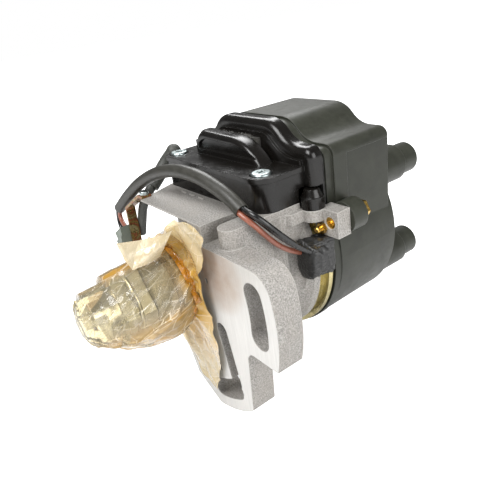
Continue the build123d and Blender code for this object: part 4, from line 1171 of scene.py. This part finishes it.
@dataclass(frozen=True)
class FilmFlap:
    """Flap that folds forward over the bag, between its top and low edges; out is the way it swells."""

    steps: tuple[int, int] = (40, 72)
    top: tuple[Point, ...] = ((17.0, -8.0, 29.0), (9.1, -9.0, 25.3), (2.0, -15.0, 23.5), (-12.5, -19.0, 19.5))
    low: tuple[Point, ...] = ((8.4, -10.9, 17.0), (9.0, -17.0, 16.5), (9.9, -23.1, 17.0), (0.8, -22.0, 17.5))
    out: Point = (0.748, -0.505, 0.432)
    swell: float = 1.6
    big_folds: float = 0.7
    small_folds: float = 0.15

    def point(self, t: float, u: float) -> Vector:
        """A place on the flap.

        Args:
            t: Share from the upper edge to the lower one.
            u: Share from the right end to the left one.

        Returns:
            The place in millimetres.
        """
        place = chain(self.top, u).lerp(chain(self.low, u), t)
        swell = self.swell * math.sin(math.pi * t) * math.sin(math.pi * min(1.0, 0.25 + u))
        swell += self.big_folds * facets(u * 3.0 + 0.3, t * 2.0 + 0.4 * u, 8.8)
        swell += self.small_folds * facets(u * 9.0, t * 6.0, 1.4)
        return place + Vector(self.out) * swell

    def build(self) -> bpy.types.Object:
        """Make the flap."""
        return dress(grid_mesh("film_flap", *self.steps, self.point), FLAP, Body.FILM)


@dataclass(frozen=True)
class Strand:
    """One strand of the band: its first roll in radians, its width and its number of turns."""

    roll: float
    width: float
    turns: float


@dataclass(frozen=True)
class FilmBand:
    """Twisted band that ties the film's neck.

    depth and out are its middle in front of the flange and outside the neck, roll_out and roll_depth how
    far a strand rolls round that middle, and clear its least distance from the flange.
    """

    steps: tuple[int, int] = (10, 300)
    depth: float = 4.4
    out: float = 1.5
    roll_out: float = 0.6
    roll_depth: float = 0.9
    crush: float = 0.28
    facet_count: int = 44
    clear: float = 0.6
    strands: tuple[Strand, ...] = (Strand(0.0, 2.2, 2.0), Strand(2.1, 1.7, 3.0), Strand(4.2, 1.4, 2.0))

    def point(self, strand: Strand, t: float, u: float) -> Vector:
        """A place on a strand.

        Args:
            strand: The strand.
            t: Share of the way across it.
            u: Share of the way round the neck.

        Returns:
            The place in millimetres.
        """
        angle = math.tau * u
        way = Vector((math.cos(angle), 0.0, math.sin(angle)))
        roll = strand.roll + strand.turns * angle + 0.8 * math.sin(3.0 * angle + strand.roll)
        across = (t - 0.5) * strand.width
        radius = NECK_R + self.out + self.roll_out * math.cos(roll) + across * 0.5 * math.sin(roll * 1.5)
        radius += self.crush * facets(u * self.facet_count, t * 2.0, strand.roll, self.facet_count)
        lean = 0.4 * math.sin(angle * 4.0 + strand.roll)
        depth = self.depth + self.roll_depth * math.sin(roll) + across * math.cos(lean)
        place = way * radius
        place.y = -max(self.clear, depth)
        return place

    def build(self) -> list[bpy.types.Object]:
        """Make the strands, the first of them in place of the band's solid.

        Returns:
            The strands.
        """
        made = []
        for number, strand in enumerate(self.strands, start=1):
            mesh = grid_mesh(f"film_strand_{number}", *self.steps, partial(self.point, strand), closed=True)
            made.append(dress(mesh, RIBBON, Body.FILM))
        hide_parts("film_band")
        return made


@dataclass(frozen=True)
class FilmWrap:
    """Creased film over the drive end: the bag, its loose skirt, its front flap and the band."""

    bag: FilmBag = FilmBag()
    skirt: FilmSkirt = FilmSkirt()
    flap: FilmFlap = FilmFlap()
    band: FilmBand = FilmBand()

    def build(self) -> None:
        """Make the four parts."""
        bag, skirt, flap, strands = self.bag.build(), self.skirt.build(), self.flap.build(), self.band.build()


@dataclass(frozen=True)
class TapedBoot:
    """Lumpy taped boot where the leads enter the body.

    low and high are the corners of its box. rim_r is the radius of the rim that it lies on, behind rim_y.
    power squares its section off, end_share is the share of its length that rounds off at each end, and
    laps is the number of the tape's turns.
    """

    steps: tuple[int, int] = (110, 150)
    low: Point = (34.5, 31.4, -0.9)
    high: Point = (44.7, 45.0, 14.7)
    rim_r: float = 41.1
    rim_y: float = 40.7
    power: float = 0.62
    end_share: float = 0.14
    end_power: float = 2.2
    laps: float = 3.2
    lap_height: float = 0.5
    creases: tuple[Crush, Crush] = (Crush(11, 1.5, 3.5, 7.7, 0.76), Crush(27, -2.0, 9.0, 1.3, 0.304))

    def point(self, v: float, u: float) -> Vector:
        """A place on the boot.

        Args:
            v: Share from its front end to its back.
            u: Share of the way round.

        Returns:
            The place in millimetres.
        """
        angle = math.tau * u
        cos, sin = math.cos(angle), math.sin(angle)
        centre = Vector([(a + b) / 2 for a, b in zip(self.low, self.high)])
        half = Vector([(b - a) / 2 for a, b in zip(self.low, self.high)])
        end = min(1.0, min(v, 1.0 - v) / self.end_share)
        close = math.sqrt(max(0.0, 1.0 - (1.0 - end) ** self.end_power))
        x = math.copysign(abs(cos) ** self.power, cos) * half.x * close
        z = math.copysign(abs(sin) ** self.power, sin) * half.z * close
        lap = (v * self.laps + u) % 1.0
        grow = sum(layer.at(u, v) for layer in self.creases) + self.lap_height * lap - 0.3
        place = centre + Vector((x, (v - 0.5) * 2.0 * half.y, z))
        place += Vector((cos, 0.25, sin)) * grow * close
        across = math.hypot(place.x, place.z)
        if place.y > self.rim_y and across < self.rim_r:
            place.x *= self.rim_r / across
            place.z *= self.rim_r / across
        return place

    def build(self) -> None:
        """Make the boot and put it in place of its solid."""
        mesh = grid_mesh("taped_boot", *self.steps, self.point, closed=True)
        boot = dress(mesh, TAPE, Body.FIXED)
        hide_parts("harness_boot")


@dataclass(frozen=True)
class CoilPotting:
    """Rough resin between the cover's loaf and its wall.

    low and high are the crust's corners in X and Y, foot_z and top_z the heights of its rim and its
    middle, and rim_share the share of its length over which it rises at each end.
    """

    steps: tuple[int, int] = (16, 150)
    low: Pair = (-19.0, 37.0)
    high: Pair = (10.5, 39.6)
    top_z: float = 50.2
    foot_z: float = 44.0
    rim_share: float = 0.125
    lump: float = 0.9

    def point(self, v: float, u: float) -> Vector:
        """A place on the resin's crust.

        Args:
            v: Share of its width, along Y.
            u: Share of its length, along X.

        Returns:
            The place in millimetres.
        """
        x = self.low[0] + (self.high[0] - self.low[0]) * u
        y = self.low[1] + (self.high[1] - self.low[1]) * v
        rise = smooth(min(u, 1.0 - u) / self.rim_share)
        lump = noise.fractal(Vector((x * 0.9, y * 0.9, 2.0)), 0.9, 2.1, 5) * self.lump
        return Vector((x, y, self.foot_z + (self.top_z - self.foot_z) * rise + lump))

    def build(self) -> None:
        """Make the crust over the solid."""
        dress(grid_mesh("potting_crust", *self.steps, self.point), POTTING, Body.FIXED)


# ------------------------------------------------------------------ studio
@dataclass(frozen=True)
class Lamp:
    """A soft square lamp: where it stands and what it points at, its side in metres and its watts."""

    name: str
    place: Point
    aim: Point
    side: float
    watts: float

    def build(self) -> None:
        """Stand the lamp in the scene, turned to its aim."""
        data = bpy.data.lights.new(self.name, "AREA")
        data.size, data.energy = self.side, self.watts
        lamp = bpy.data.objects.new(self.name, data)
        lamp.location = self.place
        lamp.rotation_mode = "QUATERNION"
        lamp.rotation_quaternion = (Vector(self.aim) - Vector(self.place)).to_track_quat("-Z", "Y")
        bpy.context.scene.collection.objects.link(lamp)


@dataclass(frozen=True)
class StudioSet:
    """Floor, lamps, world and camera, placed in metres.

    mirror_light, soft_light and white are the world's strengths for glossy, for other and for camera rays.
    """

    floor_z: float = -0.0605
    floor_half: float = 6.0
    azimuth: float = 55.993
    elevation: float = 25.562
    roll: float = -8.374
    eye: Point = (0.167158, -0.077816, 0.095177)
    lens_mm: float = 36.0
    sensor_mm: float = 36.0
    clip: Pair = (0.005, 50.0)
    soft_light: float = 0.40
    mirror_light: float = 0.17
    white: float = 1.0
    lamps: tuple[Lamp, ...] = (
        Lamp("key", (0.10, -0.55, 0.75), (0.0, 0.03, 0.0), 0.55, 11.5),
        Lamp("side", (0.75, 0.15, 0.25), (0.0, 0.05, 0.0), 0.6, 5.5),
        Lamp("rim", (-0.45, 0.35, 0.55), (0.0, 0.05, 0.0), 0.4, 4.0))

    def floor(self) -> None:
        """A wide pale floor under the object."""
        form = bmesh.new()
        bmesh.ops.create_grid(form, x_segments=1, y_segments=1, size=self.floor_half)
        plane = finish_mesh("floor", form)
        plane.location = (0.0, 0.0, self.floor_z)
        plane.data.materials.append(FLOOR.material())

    def world(self) -> None:
        """White to the camera, soft grey light on the object, and darker in reflections."""
        world = bpy.data.worlds.new("studio")
        world.use_nodes = True
        bpy.context.scene.world = world
        tree = world.node_tree
        back = tree.nodes["Background"]
        back.inputs["Color"].default_value = (1.0, 1.0, 1.0, 1.0)
        rays = tree.nodes.new("ShaderNodeLightPath")
        mirror, shown = (tree.nodes.new("ShaderNodeMapRange") for _ in range(2))
        mirror.inputs["To Min"].default_value = self.soft_light
        mirror.inputs["To Max"].default_value = self.mirror_light
        shown.inputs["To Max"].default_value = self.white
        tree.links.new(rays.outputs["Is Glossy Ray"], mirror.inputs["Value"])
        tree.links.new(rays.outputs["Is Camera Ray"], shown.inputs["Value"])
        tree.links.new(mirror.outputs[0], shown.inputs["To Min"])
        tree.links.new(shown.outputs[0], back.inputs["Strength"])

    def camera(self) -> None:
        """The camera, set by its place, its two angles and its roll."""
        az, el, roll = (math.radians(a) for a in (self.azimuth, self.elevation, self.roll))
        right = Vector((math.cos(az), math.sin(az), 0.0))
        ahead = Vector((-math.sin(az) * math.cos(el), math.cos(az) * math.cos(el), -math.sin(el)))
        down = ahead.cross(right)
        side = right * math.cos(roll) - down * math.sin(roll)
        drop = right * math.sin(roll) + down * math.cos(roll)
        data = bpy.data.cameras.new("camera")
        data.lens, data.sensor_width = self.lens_mm, self.sensor_mm
        data.clip_start, data.clip_end = self.clip
        eye = bpy.data.objects.new("camera", data)
        turn = Matrix((side, -drop, -ahead)).transposed()
        eye.matrix_world = Matrix.Translation(self.eye) @ turn.to_4x4()
        bpy.context.scene.collection.objects.link(eye)
        bpy.context.scene.camera = eye

    def build(self) -> None:
        """Set up the whole studio."""
        self.floor()
        self.world()
        for lamp in self.lamps:
            lamp.build()
        self.camera()
        bpy.context.scene.view_settings.view_transform = "Standard"
        LOG.info("studio ready")


def main() -> None:
    """Load the solids, dress them, add the soft pieces and set the studio."""
    logging.basicConfig(level=logging.INFO, format="%(name)s: %(message)s")
    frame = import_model()
    CadParts(frame["nodes"]).build()
    FilmWrap().build()
    TapedBoot().build()
    CoilPotting().build()
    StudioSet().build()


if __name__ == "__main__":
    main()
